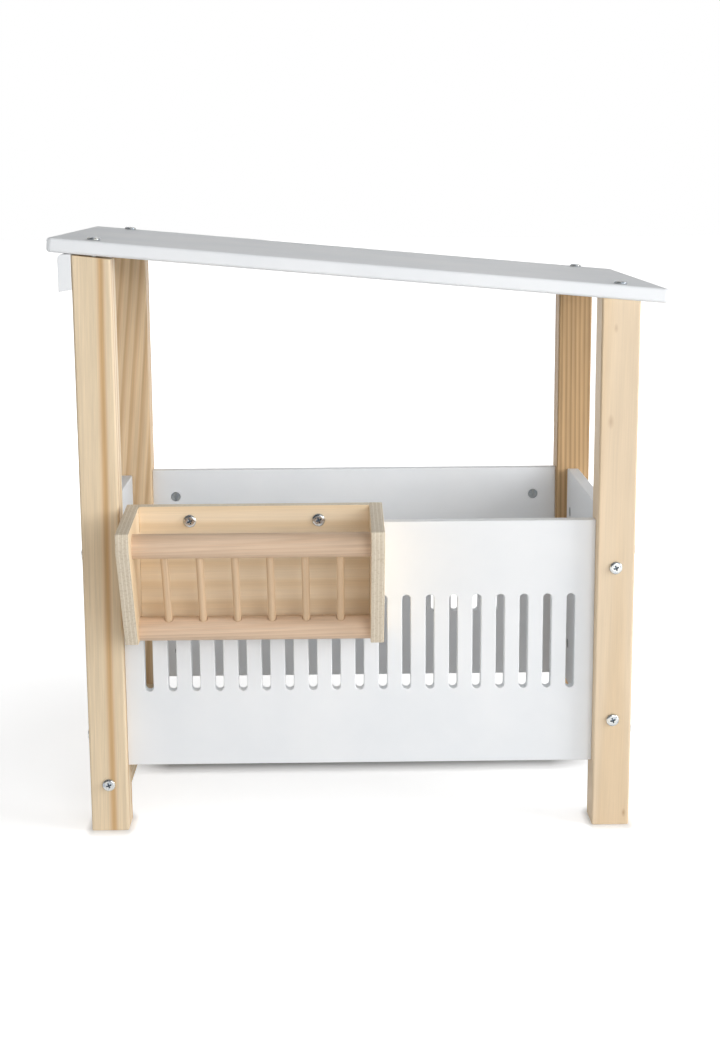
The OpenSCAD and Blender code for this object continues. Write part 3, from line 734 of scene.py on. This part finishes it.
rail_low, rail_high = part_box("bottom_cross_rail")
rail_pine = solid_wood(
    "pine_threshold", pale=colour(224, 204, 172), late=colour(200, 166, 122), ring=6 * MM, along="Y",
    pith=(rail_low.x + 20 * MM, rail_low.z - 50 * MM, 0), lean=(0.01, 0.006, 0), contrast=0.7)
threshold = board("threshold", rail_low, rail_high)
ease(threshold, THRESHOLD_EASE)
bore(threshold, *nut_pockets("rail_barrel_nuts", rail_low.z, Vector((0, 0, 1))))
done(threshold, rail_pine, "frame", "pine", "bottom_cross_rail")

# %% [markdown]
# ## The doors
# Two leaves close the left end. They are plain painted boards with eased edges, hung on butt hinges
# on their outer faces. Each has a turned beech knob, and a beech button on the front leaf turns
# over the other one to keep them shut.

# %% The two leaves
PIVOT_HOLE = 2.05 * MM
LEAF_EASE = 1.2 * MM


def through_hole(screw):
    """A cutter along x round the middle of a screw's box, through all that it crosses."""
    low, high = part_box(screw)
    middle = (low + high) / 2
    start, end = (low.x - MM, middle.y, middle.z), (high.x + MM, middle.y, middle.z)
    return rod("hole", start, end, PIVOT_HOLE, HOLE_SIDES)


def leaf(name, node, body, *screws):
    low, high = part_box(node)
    piece = board(name, low, high)
    ease(piece, LEAF_EASE)
    for screw in screws:
        drill(piece, [through_hole(screw)])
    ease(piece, 0)
    done(piece, paint, body, "white_board", node)


leaf("front_leaf", "front_door_leaf", "front_door", "front_door_knob_screw")
leaf("rear_leaf", "rear_door_leaf", "rear_door", "rear_door_knob_screw")

# %% Beech
BEECH_ROUGH = (0.45, 0.58)
BEECH_LOOK = {
    "pale": colour(229, 201, 174), "late": colour(213, 180, 149), "ring": 3.4 * MM,
    "lean": (0.01, 0.02, 0), "waviness": 1.0, "contrast": 0.45, "rough": BEECH_ROUGH,
}
beech_wood = solid_wood("beech", along="X", pith=(30 * MM, 45 * MM, 0), **BEECH_LOOK)
print("beech made")

# %% [markdown]
# ## Turning on a lathe
# A knob, a bolt head and a washer are all turned. The outline is drawn by extruding one vertex from
# point to point, and the spin tool sweeps it round the axis. The seam's doubles are merged before
# the normals are made to point outwards.

# %% The lathe
LATHE_STEPS = 40


def turned(name, outline, steps=LATHE_STEPS):
    """A solid of revolution about z from (radius, height) points, both ends on the axis."""
    deselect()
    bpy.ops.mesh.primitive_plane_add(size=MM, location=(outline[0][0], 0, outline[0][1]))
    piece = settle(bpy.context.active_object, name)
    bpy.context.tool_settings.mesh_select_mode = (True, False, False)
    bpy.ops.object.mode_set(mode="EDIT")
    bpy.ops.mesh.select_all(action="SELECT")
    bpy.ops.mesh.merge(type="CENTER")
    for before, after in zip(outline, outline[1:]):
        step = (after[0] - before[0], 0, after[1] - before[1])
        bpy.ops.mesh.extrude_region_move(TRANSFORM_OT_translate={"value": step})
    bpy.ops.mesh.select_all(action="SELECT")
    bpy.ops.mesh.spin(steps=steps, angle=math.tau, center=(0, 0, 0), axis=(0, 0, 1))
    bpy.ops.mesh.select_all(action="SELECT")
    bpy.ops.mesh.remove_doubles(threshold=SAME_PLACE)
    bpy.ops.mesh.normals_make_consistent(inside=False)
    back_to_object()
    return piece


def arc(middle, radius, start, end, count):
    """Points of an outline on an arc; radius is (across, up) and the angles are in degrees."""
    angles = [math.radians(start + (end - start) * i / count) for i in range(count + 1)]
    return [(middle[0] + radius[0] * math.cos(a), middle[1] + radius[1] * math.sin(a)) for a in angles]


# %% A beech knob
knob_low, knob_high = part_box("front_door_knob")
KNOB_LENGTH = knob_high.x - knob_low.x
KNOB_RADIUS = (knob_high.z - knob_low.z) / 2
knob_outline = (
    [(0, 0), (0.66 * KNOB_RADIUS, 0)]
    + arc((0.6 * KNOB_RADIUS, 0.1 * KNOB_LENGTH), (0.08 * KNOB_RADIUS, 0.06 * KNOB_LENGTH), -20, 90, 4)
    + arc((0.72 * KNOB_RADIUS, 0.3 * KNOB_LENGTH), (0.25 * KNOB_RADIUS, 0.12 * KNOB_LENGTH), 230, 130, 6)
    + arc((0.55 * KNOB_RADIUS, 0.66 * KNOB_LENGTH), (0.45 * KNOB_RADIUS, 0.24 * KNOB_LENGTH), -80, 70, 10)
    + arc((0, 0.6 * KNOB_LENGTH), (0.8 * KNOB_RADIUS, 0.4 * KNOB_LENGTH), 60, 90, 6)
)


def knob(name, node, body):
    low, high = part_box(node)
    middle = (low + high) / 2
    piece = turned(name, knob_outline)
    foot = Matrix.Translation((high.x, middle.y, middle.z))
    piece.data.transform(foot @ Matrix.Rotation(-math.pi / 2, 4, "Y"))
    ease(piece, 0)
    done(piece, beech_wood, body, "beech", node)


knob("front_knob", "front_door_knob", "front_door")
knob("rear_knob", "rear_door_knob", "rear_door")

# %% The turn button
BUTTON_EASE = 1.2 * MM

button_low, button_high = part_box("turn_button")
button_middle = (button_low + button_high) / 2
button_beech = solid_wood("beech_upright", along="Z", pith=(-230 * MM, 30 * MM, 0), **BEECH_LOOK)
button = stadium("button", Vector((0, 0, 0)), button_high.z - button_low.z, button_high.y - button_low.y,
                 button_high.x - button_low.x)
button.data.transform(Matrix.Translation(button_middle) @ Matrix.Rotation(math.pi / 2, 4, "Z"))
ease(button, BUTTON_EASE)
drill(button, [through_hole("turn_button_screw")])
ease(button, 0)
done(button, button_beech, "turn_button", "beech", "turn_button")

# %% [markdown]
# ## The hay rack
# Two brackets of plywood hold a back board, two round beech rails and a row of thin spindles.
# Plywood shows two faces: a quiet grain on the sheet and stripes of glued plies on every cut edge.
# The finish finds out which it is from the surface's own direction in object space.

# %% Plywood
PLIES = 7
PLY_LIGHT = colour(232, 221, 202)
PLY_DARK = colour(222, 209, 187)
PLY_GLUE = colour(204, 186, 159)
SPECK_BROWN = colour(166, 142, 108)
PLY_WOBBLE = 60
PLY_SPECKS = 500


def plywood(name, sheet_normal, start, thickness, along, pith):
    """Plywood whose sheet faces the given axis (0 for x, 1 for y); start is where its plies begin."""
    finish = Finish(name)
    sheet_colour, fibres, late_wood = grain(
        finish, pale=colour(246, 226, 196), late=colour(232, 205, 165), ring=17 * MM, pith=pith, along=along,
        waviness=2.6, contrast=0.6, fibre=0.06, streak=0.03)
    split = finish.add("SeparateXYZ", Vector=finish.place)
    depth = finish.math("DIVIDE", finish.math("SUBTRACT", split.outputs[sheet_normal], start), thickness)
    wobble = finish.map_range(finish.noise(finish.place, PLY_WOBBLE, 2), 0.3, 0.7, -0.12, 0.12)
    ply = finish.math("ADD", finish.math("MULTIPLY", depth, PLIES), wobble)
    band = finish.math("PINGPONG", ply, 1.0)
    edge_colour = finish.ramp(band, [(0.0, PLY_LIGHT), (0.4, PLY_LIGHT), (0.5, PLY_GLUE),
                                     (0.6, PLY_DARK), (1.0, PLY_DARK)])
    specks = finish.noise(finish.place, PLY_SPECKS, 3)
    edge_colour = finish.mix(finish.map_range(specks, 0.5, 0.75, 0, 0.4), edge_colour, SPECK_BROWN)
    facing = finish.add("SeparateXYZ", Vector=finish.nodes["Texture Coordinate"].outputs["Normal"])
    flat_on = finish.math("ABSOLUTE", facing.outputs[sheet_normal])
    is_sheet = finish.map_range(flat_on, 0.6, 0.8, 0, 1)
    finish.put(finish.shader.inputs["Base Color"], finish.mix(is_sheet, edge_colour, sheet_colour))
    finish.put(finish.shader.inputs["Roughness"], finish.map_range(fibres, 0.3, 0.7, *WOOD_ROUGH))
    finish.put(finish.shader.inputs["Specular IOR Level"], WOOD_SPECULAR)
    finish.bump(fibres, GRAIN_HEIGHT, 0.3)
    return finish.material


print("plywood of", PLIES, "plies")

# %% The brackets
BRACKET_FOOT = 46.5 * MM
BRACKET_NOSE = 16 * MM
BRACKET_DROP = 8.5 * MM
GLUE_CLEARANCE = 0.15 * MM
PLY_EASE = 0.7 * MM
RAIL_SIDES = 64


def rail_axis(node):
    """The two ends of a rail's axis, and its radius."""
    low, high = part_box(node)
    middle = (low + high) / 2
    return Vector((low.x, middle.y, middle.z)), Vector((high.x, middle.y, middle.z)), (high.z - low.z) / 2


def rail_hole(node):
    """A cutter for the blind holes that a rail's two ends are glued into."""
    start, end, radius = rail_axis(node)
    spare = Vector((GLUE_CLEARANCE, 0, 0))
    return rod("hole", start - spare, end + spare, radius + GLUE_CLEARANCE, RAIL_SIDES)


def bracket(name, node):
    low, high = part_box(node)
    piece = board(name, low, high)
    top_front = Vector((low.x, low.y, high.z - BRACKET_DROP))
    saw(piece, top_front, (0, -BRACKET_DROP, high.y - low.y))
    nose = Vector((low.x, low.y, high.z - BRACKET_DROP - BRACKET_NOSE))
    foot = Vector((low.x, high.y - BRACKET_FOOT, low.z))
    slant = foot - nose
    saw(piece, nose, (0, slant.z, -slant.y))
    ease(piece, PLY_EASE, 2)
    drill(piece, [rail_hole("rack_top_rail"), rail_hole("rack_bottom_rail")])
    ease(piece, 0)
    material = plywood(name + "_plywood", 0, low.x, high.x - low.x, "Z", (0.3, -0.22, 0))
    done(piece, material, "hay_rack", "plywood", node)


bracket("left_bracket", "rack_left_bracket")
bracket("right_bracket", "rack_right_bracket")

# %% The back board and the cleat
SHEET_PITH = (-0.25, 0.10, 0)
INSERT_HOLE = 10.15 * MM

back_low, back_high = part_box("rack_back_board")
back_board = board("back_board", back_low, back_high)
ease(back_board, PLY_EASE, 2)
bore(back_board)
back_plywood = plywood("back_plywood", 1, back_low.y, back_high.y - back_low.y, "X", SHEET_PITH)
done(back_board, back_plywood, "hay_rack", "plywood", "rack_back_board")

cleat_low, cleat_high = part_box("rack_rear_cleat")
cleat = board("cleat", cleat_low, cleat_high)
insert_low, insert_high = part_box("rack_insert_nuts")
INSERT_RADIUS = (insert_high.z - insert_low.z) / 2
cleat_holes = []
for x in (insert_low.x + INSERT_RADIUS, insert_high.x - INSERT_RADIUS):
    mouth = Vector((x, cleat_low.y, (insert_low.z + insert_high.z) / 2))
    start, end = mouth - Vector((0, MM, 0)), mouth + Vector((0, INSERT_HOLE, 0))
    cleat_holes.append(rod("hole", start, end, INSERT_RADIUS + GLUE_CLEARANCE))
ease(cleat, PLY_EASE, 2)
drill(cleat, cleat_holes)
ease(cleat, 0)
cleat_plywood = plywood("cleat_plywood", 1, cleat_low.y, cleat_high.y - cleat_low.y, "X", SHEET_PITH)
done(cleat, cleat_plywood, "hay_rack", "plywood", "rack_rear_cleat")

# %% The rails and the spindles
SPINDLES = 6
SPINDLE_PITCH = 31.4 * MM
SPINDLE_RADIUS = 3.5 * MM
SPINDLE_HOLE = 3.95 * MM
SPINDLE_SEAT = 8 * MM
SPINDLE_SIDES = 28
ROD_EASE = 0.4 * MM


top_start, top_end, rail_radius = rail_axis("rack_top_rail")
bottom_start, _, _ = rail_axis("rack_bottom_rail")
rack_middle = (top_start.x + top_end.x) / 2
spindle_x = [rack_middle + (i - (SPINDLES - 1) / 2) * SPINDLE_PITCH for i in range(SPINDLES)]
down = (bottom_start - top_start).normalized()
seat_top = top_start + down * (rail_radius - SPINDLE_SEAT)
seat_bottom = bottom_start - down * (rail_radius - SPINDLE_SEAT)


def at_spindles(name, radius):
    """A rod from seat to seat at the place of each spindle."""
    return [rod(name, (x, seat_top.y, seat_top.z), (x, seat_bottom.y, seat_bottom.z), radius, SPINDLE_SIDES)
            for x in spindle_x]


def rack_rail(name, node):
    start, end, radius = rail_axis(node)
    piece = rod(name, start, end, radius, RAIL_SIDES)
    drill(piece, at_spindles("hole", SPINDLE_HOLE))
    ease(piece, ROD_EASE, 2, 50)
    done(piece, beech_wood, "hay_rack", "beech", node)


rack_rail("top_rail", "rack_top_rail")
rack_rail("bottom_rail", "rack_bottom_rail")
spindle_beech = solid_wood(
    "beech_spindles", pale=colour(229, 200, 166), late=colour(212, 176, 138), ring=3 * MM, along="Z",
    pith=(0.0, 0.06, 0), lean=(math.atan(down.y / down.z), 0, 0), waviness=1.0, contrast=0.3, fibre=0.1,
    rough=BEECH_ROUGH)
spindles = joined(at_spindles("spindle", SPINDLE_RADIUS), "spindles")
ease(spindles, ROD_EASE, 2, 50)
done(spindles, spindle_beech, "hay_rack", "beech", "rack_spindles")

# %% [markdown]
# ## Bolts and the other metal
# The pan heads are the only bright points on the object, so they are turned and then cut with a
# tapered cross, as a real driver recess is. One bolt is made with its head's underside at z = 0 and
# then copied to each place in the frame, with its own mesh each time.

# %% Zinc plate
ZINC_CLOUDS = 240
ZINC_FINE = 1500
ZINC_HEIGHT = 0.03 * MM


def zinc(name, dark, middle, light, rough):
    """Zinc plate with a slow change of tone from bluish to warm."""
    finish = Finish(name)
    finish.put(finish.shader.inputs["Metallic"], 1.0)
    cloud = finish.noise(finish.place, ZINC_CLOUDS, 3)
    tone = finish.ramp(cloud, [(0.35, dark), (0.5, middle), (0.68, light)])
    finish.put(finish.shader.inputs["Base Color"], tone)
    fine = finish.noise(finish.place, ZINC_FINE, 2)
    finish.put(finish.shader.inputs["Roughness"], finish.map_range(fine, 0.3, 0.7, *rough))
    finish.bump(fine, ZINC_HEIGHT, 0.4)
    return finish.material


zinc_plate = zinc("zinc", colour(176, 184, 192), colour(204, 207, 208), colour(212, 211, 203), (0.2, 0.32))
# Painted shade: a darker, bluer zinc for the faces of the cross recess, standing in for its shadow
zinc_recess_painted_shade = zinc("zinc_recess_painted_shade", colour(96, 112, 128), colour(118, 134, 150), colour(140, 152, 162),
                      (0.4, 0.5))
print("zinc made")

# %% One pan head bolt
THREAD_RADIUS = 3 * MM
RECESS_TURN = 0.35
RECESS_FOOT_LONG = 0.45
RECESS_FOOT_WIDE = 0.5
BOLT_EASE = 0.12 * MM


def pan_bolt(name, length):
    """A pan head bolt along z: head above z = 0, shank down to -length."""
    rim = 0.4 * HEAD_HEIGHT
    outline = (
        [(0, -length), (0.7 * THREAD_RADIUS, -length), (THREAD_RADIUS, 0.6 * THREAD_RADIUS - length),
         (THREAD_RADIUS, 0), (0.96 * HEAD_RADIUS, 0)]
        + arc((0.55 * HEAD_RADIUS, rim), (0.45 * HEAD_RADIUS, HEAD_HEIGHT - rim), -8, 78, 9)
        + [(0.3 * HEAD_RADIUS, 0.985 * HEAD_HEIGHT), (0, HEAD_HEIGHT)]
    )
    piece = turned(name, outline)
    piece.data.materials.append(zinc_plate)
    for turn in (RECESS_TURN, RECESS_TURN + math.pi / 2):
        drill(piece, [recess_wing(turn)])
    return piece


def recess_wing(turn):
    """One wing of the cross: a bar whose lower face is drawn in."""
    half_length, half_width, depth = 0.52 * HEAD_RADIUS, 0.13 * HEAD_RADIUS, 0.75 * HEAD_HEIGHT
    wing = board("wing", (-half_length, -half_width, HEAD_HEIGHT - depth),
                 (half_length, half_width, HEAD_HEIGHT + MM))
    for vertex in wing.data.vertices:
        if vertex.co.z < HEAD_HEIGHT:
            vertex.co.x *= RECESS_FOOT_LONG
            vertex.co.y *= RECESS_FOOT_WIDE
    wing.data.transform(Matrix.Rotation(turn, 4, "Z"))
    # The faces the wing cuts take the darker zinc, painted shade in the recess
    wing.data.materials.append(zinc_recess_painted_shade)
    return wing


# %% Placing the bolts
def standing(at, outwards):
    """Turns z into the outward direction and moves it to a place."""
    return Matrix.Translation(at) @ outwards.to_track_quat("Z", "Y").to_matrix().to_4x4()


def bolts(name, node, body):
    """Copies of one bolt at each of a node's places, as one piece."""
    places, length = BOLTS[node]
    pattern = pan_bolt("pattern", length)
    copies = [copy_to(pattern, standing(at, OUTWARDS[way])) for at, way in places]
    bpy.data.objects.remove(pattern, do_unlink=True)
    piece = joined(copies, name)
    ease(piece, BOLT_EASE, 1, 35)
    done(piece, None, body, "zinc_steel", node)


bolts("side_bolts", "side_panel_bolts", "frame")
bolts("end_bolts", "end_panel_bolts", "frame")
bolts("threshold_bolts", "rail_bolts", "frame")
bolts("hay_rack_bolts", "rack_bolts", "hay_rack")
bolts("top_bolts", "roof_bolts", "frame")

# %% [markdown]
# The small fittings are right as they come from the frame, so they keep their shape and get the
# metal finish: barrel nuts, hinges, pins, screws, sleeves and threaded inserts.

# %% Finish for the small fittings
DULL_METALLIC = 0.6
dull_zinc = zinc("dull_zinc", colour(150, 158, 166), colour(168, 174, 178), colour(182, 184, 182),
                 (0.42, 0.52))
dull_zinc.node_tree.nodes["Principled BSDF"].inputs["Metallic"].default_value = DULL_METALLIC
FITTINGS = [
    "header_screws", "side_panel_barrel_nuts", "end_panel_barrel_nuts", "rail_barrel_nuts",
    "hinge_post_leaves", "hinge_pins", "hinge_post_screws", "front_door_hinge_leaves",
    "front_door_hinge_screws", "front_door_knob_screw", "turn_button_screw", "rear_door_hinge_leaves",
    "rear_door_hinge_screws", "rear_door_knob_screw", "rack_sleeves", "rack_insert_nuts", "rack_screws",
]
for name in FITTINGS:
    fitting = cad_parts[name]
    fitting.data.materials.clear()
    fitting.data.materials.append(dull_zinc if name.endswith("barrel_nuts") else zinc_plate)
print(len(FITTINGS), "fittings plated")

# %% [markdown]
# ## The studio
# The floor and the world are white to the camera and to reflections, but they light the object at a
# plain level. The floor takes the barn's soft shadow close by, with a painted shadow under the barn
# and round the feet of the posts, and is plain white further off. A large lamp in front and a
# stronger one at the right are soft, so the hay rack's shadow falls to the left. A weak low one
# behind lights the back's faces. The world's light comes from all sides and hardly from above, as in
# a light tent.

# %% The floor
FLOOR_SIZE = 30
FLOOR_WHITE = 0.85
FLOOR_ROUGH = 0.9
FLOOR_SPECULAR = 0.1
LIFT_NEAR = 0.58            # how much the floor near the barn shines for the camera
LIFT_RISES_FROM = 0.4
FLOOR_PLAIN_FROM = 1.1
# Painted shadow: in a box under the barn the floor is greyed and its lift taken away
UNDER_HALF_LENGTH = 200 * MM
UNDER_FADE = 50 * MM
UNDER_MIDDLE_Y = 130 * MM
UNDER_HALF_DEPTH = 80 * MM
UNDER_FADE_Y = (-10 * MM, 20 * MM)
SHADE_BELOW = 0.4
# how much the painted contact shadow round the feet of the posts darkens the floor, and how wide it is
FOOT_SHADE = 0.42
FOOT_SHADE_WIDTH = 18 * MM
FOOT_SHADE_NARROWER = 2.5


def seen_directly(tree):
    """1 for what the camera sees, also in a mirror or through glass, and 0 for light."""
    path = tree.nodes.new("ShaderNodeLightPath").outputs
    seen = tree.math("MAXIMUM", path["Is Camera Ray"], path["Is Glossy Ray"])
    return tree.math("MAXIMUM", seen, path["Is Transmission Ray"])


def beyond(finish, value, middle, half):
    """How far a value lies outside middle - half to middle + half; negative inside."""
    return finish.math("SUBTRACT", finish.math("ABSOLUTE", finish.math("SUBTRACT", value, middle)), half)


def foot_shade(finish, x, y):
    """A painted contact shadow round the feet: 1 where a post stands, falling to 0 at FOOT_SHADE_WIDTH in
    front of it, and sooner beside it.
    """
    half_post = (left_high - left_low) / 2
    rear_right_foot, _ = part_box("post_rear_right")
    half_span = (rear_right_foot - left_low) / 2
    middle = left_low + half_post + half_span
    beside = [finish.math("ABSOLUTE", beyond(finish, value, middle[i], half_span[i]))
              for i, value in enumerate((x, y))]
    outside = [finish.math("MAXIMUM", finish.math("SUBTRACT", value, half_post.x), 0.0) for value in beside]
    outside[0] = finish.math("MULTIPLY", outside[0], FOOT_SHADE_NARROWER)
    return finish.map_range(finish.math("ADD", *outside), 0, FOOT_SHADE_WIDTH, 1, 0)


def floor_finish():
    """White, greyed by a painted shadow under the barn and round the feet, and lifted to plain white where
    the camera sees it.
    """
    finish = Finish("floor")
    finish.shader.inputs["Roughness"].default_value = FLOOR_ROUGH
    finish.shader.inputs["Specular IOR Level"].default_value = FLOOR_SPECULAR
    split = finish.add("SeparateXYZ", Vector=finish.place)
    x, y, _ = split.outputs
    # Painted shadow under the barn: a mask that greys the floor's colour and lowers its lift
    within_x = finish.map_range(beyond(finish, x, 0, UNDER_HALF_LENGTH), 0, UNDER_FADE, 1, 0)
    beyond_y = beyond(finish, y, UNDER_MIDDLE_Y, UNDER_HALF_DEPTH)
    painted_shadow_under = finish.math("MULTIPLY", within_x, finish.map_range(beyond_y, *UNDER_FADE_Y, 1, 0))
    shade = finish.map_range(painted_shadow_under, 0, 1, FLOOR_WHITE, FLOOR_WHITE * (1 - SHADE_BELOW))
    finish.put(finish.shader.inputs["Base Color"], finish.add("CombineColor", Red=shade, Green=shade,
                                                              Blue=shade).outputs[0])
    away = finish.add("VectorMath", {"operation": "LENGTH"})
    finish.put(away.inputs[0], finish.place)
    lift = finish.map_range(away.outputs["Value"], LIFT_RISES_FROM, FLOOR_PLAIN_FROM, LIFT_NEAR, 1.0)
    lift = finish.math("MULTIPLY", lift, finish.math("SUBTRACT", 1.0, painted_shadow_under))
    # Painted contact shadow: the lift is taken down round the feet of the posts
    lift = finish.math("SUBTRACT", lift, finish.math("MULTIPLY", foot_shade(finish, x, y), FOOT_SHADE))
    lift = finish.math("MAXIMUM", lift, 0.0)
    glow = finish.add("Emission", Strength=finish.math("MULTIPLY", seen_directly(finish), lift))
    both = finish.nodes.new("ShaderNodeAddShader")
    finish.put(both.inputs[0], finish.shader.outputs[0])
    finish.put(both.inputs[1], glow.outputs[0])
    finish.put(finish.nodes["Material Output"].inputs["Surface"], both.outputs[0])
    return finish.material


deselect()
bpy.ops.mesh.primitive_plane_add(size=FLOOR_SIZE, location=(0, 0, 0))
floor = bpy.context.active_object
floor.name = "floor"
floor.data.materials.append(floor_finish())
print("floor laid,", FLOOR_SIZE, "m wide")

# %% The world
WORLD_SIDES = 1.0
MIRRORED_FRONT = 0.12
MIRRORED_BACK = 0.75
MIRROR_TURNS_AT = (-0.7, 0.6)
MIRROR_TO_RIGHT = 0.5


def tent_world():
    """White to the camera, level light from all sides, and dim in front but bright behind in mirrors."""
    world = bpy.data.worlds.new("studio")
    bpy.context.scene.world = world
    world.use_nodes = True
    tree = Tree(world.node_tree)
    background = tree.nodes["Background"]
    background.inputs["Color"].default_value = WHITE
    direction = tree.add("SeparateXYZ", Vector=tree.nodes.new("ShaderNodeTexCoord").outputs["Generated"])
    x, y, z = direction.outputs
    level = tree.math("SUBTRACT", 1.0, tree.math("MAXIMUM", z, 0.0))
    sideways = tree.math("ADD", tree.math("ABSOLUTE", x), tree.math("ABSOLUTE", y))
    light = tree.math("MULTIPLY", tree.math("MULTIPLY", level, sideways), WORLD_SIDES)
    to_back_right = tree.math("ADD", y, tree.math("MULTIPLY", x, MIRROR_TO_RIGHT))
    mirrored = tree.map_range(to_back_right, *MIRROR_TURNS_AT, MIRRORED_FRONT, MIRRORED_BACK)
    path = tree.nodes.new("ShaderNodeLightPath").outputs
    unmirrored = tree.math("MULTIPLY", light, tree.math("SUBTRACT", 1.0, path["Is Glossy Ray"]))
    light = tree.math("ADD", unmirrored, tree.math("MULTIPLY", mirrored, path["Is Glossy Ray"]))
    seen = tree.math("MAXIMUM", path["Is Camera Ray"], path["Is Transmission Ray"])
    strength = tree.math("ADD", tree.math("MULTIPLY", light, tree.math("SUBTRACT", 1.0, seen)), seen)
    tree.put(background.inputs["Strength"], strength)


tent_world()
print("world made")

# %% The three lamps
LAMP_AIM = Vector((0, 0, 0.28))
LAMP_AWAY = 2.6
LAMP_SIZE = 1.1


def softbox(name, turn, height, power):
    """A square lamp. turn is its angle to the right of straight ahead, height the angle above level."""
    turn, height = math.radians(turn), math.radians(height)
    towards = Vector((math.sin(turn) * math.cos(height), -math.cos(turn) * math.cos(height),
                      math.sin(height)))
    data = bpy.data.lights.new(name, "AREA")
    data.shape, data.size, data.energy = "SQUARE", LAMP_SIZE, power
    lamp = bpy.data.objects.new(name, data)
    bpy.context.scene.collection.objects.link(lamp)
    lamp.location = LAMP_AIM + towards * LAMP_AWAY
    lamp.rotation_euler = (-towards).to_track_quat("-Z", "Y").to_euler()
    print(name, "at", [round(value, 3) for value in lamp.location])


softbox("front_lamp", 20, 12, 15)
softbox("right_lamp", 70, 15, 32)
softbox("back_lamp", 180, 3, 8)

# %% [markdown]
# ## The colour view
# The Standard view shows a colour as it is written.

# %% Finish
bpy.context.scene.view_settings.view_transform = "Standard"
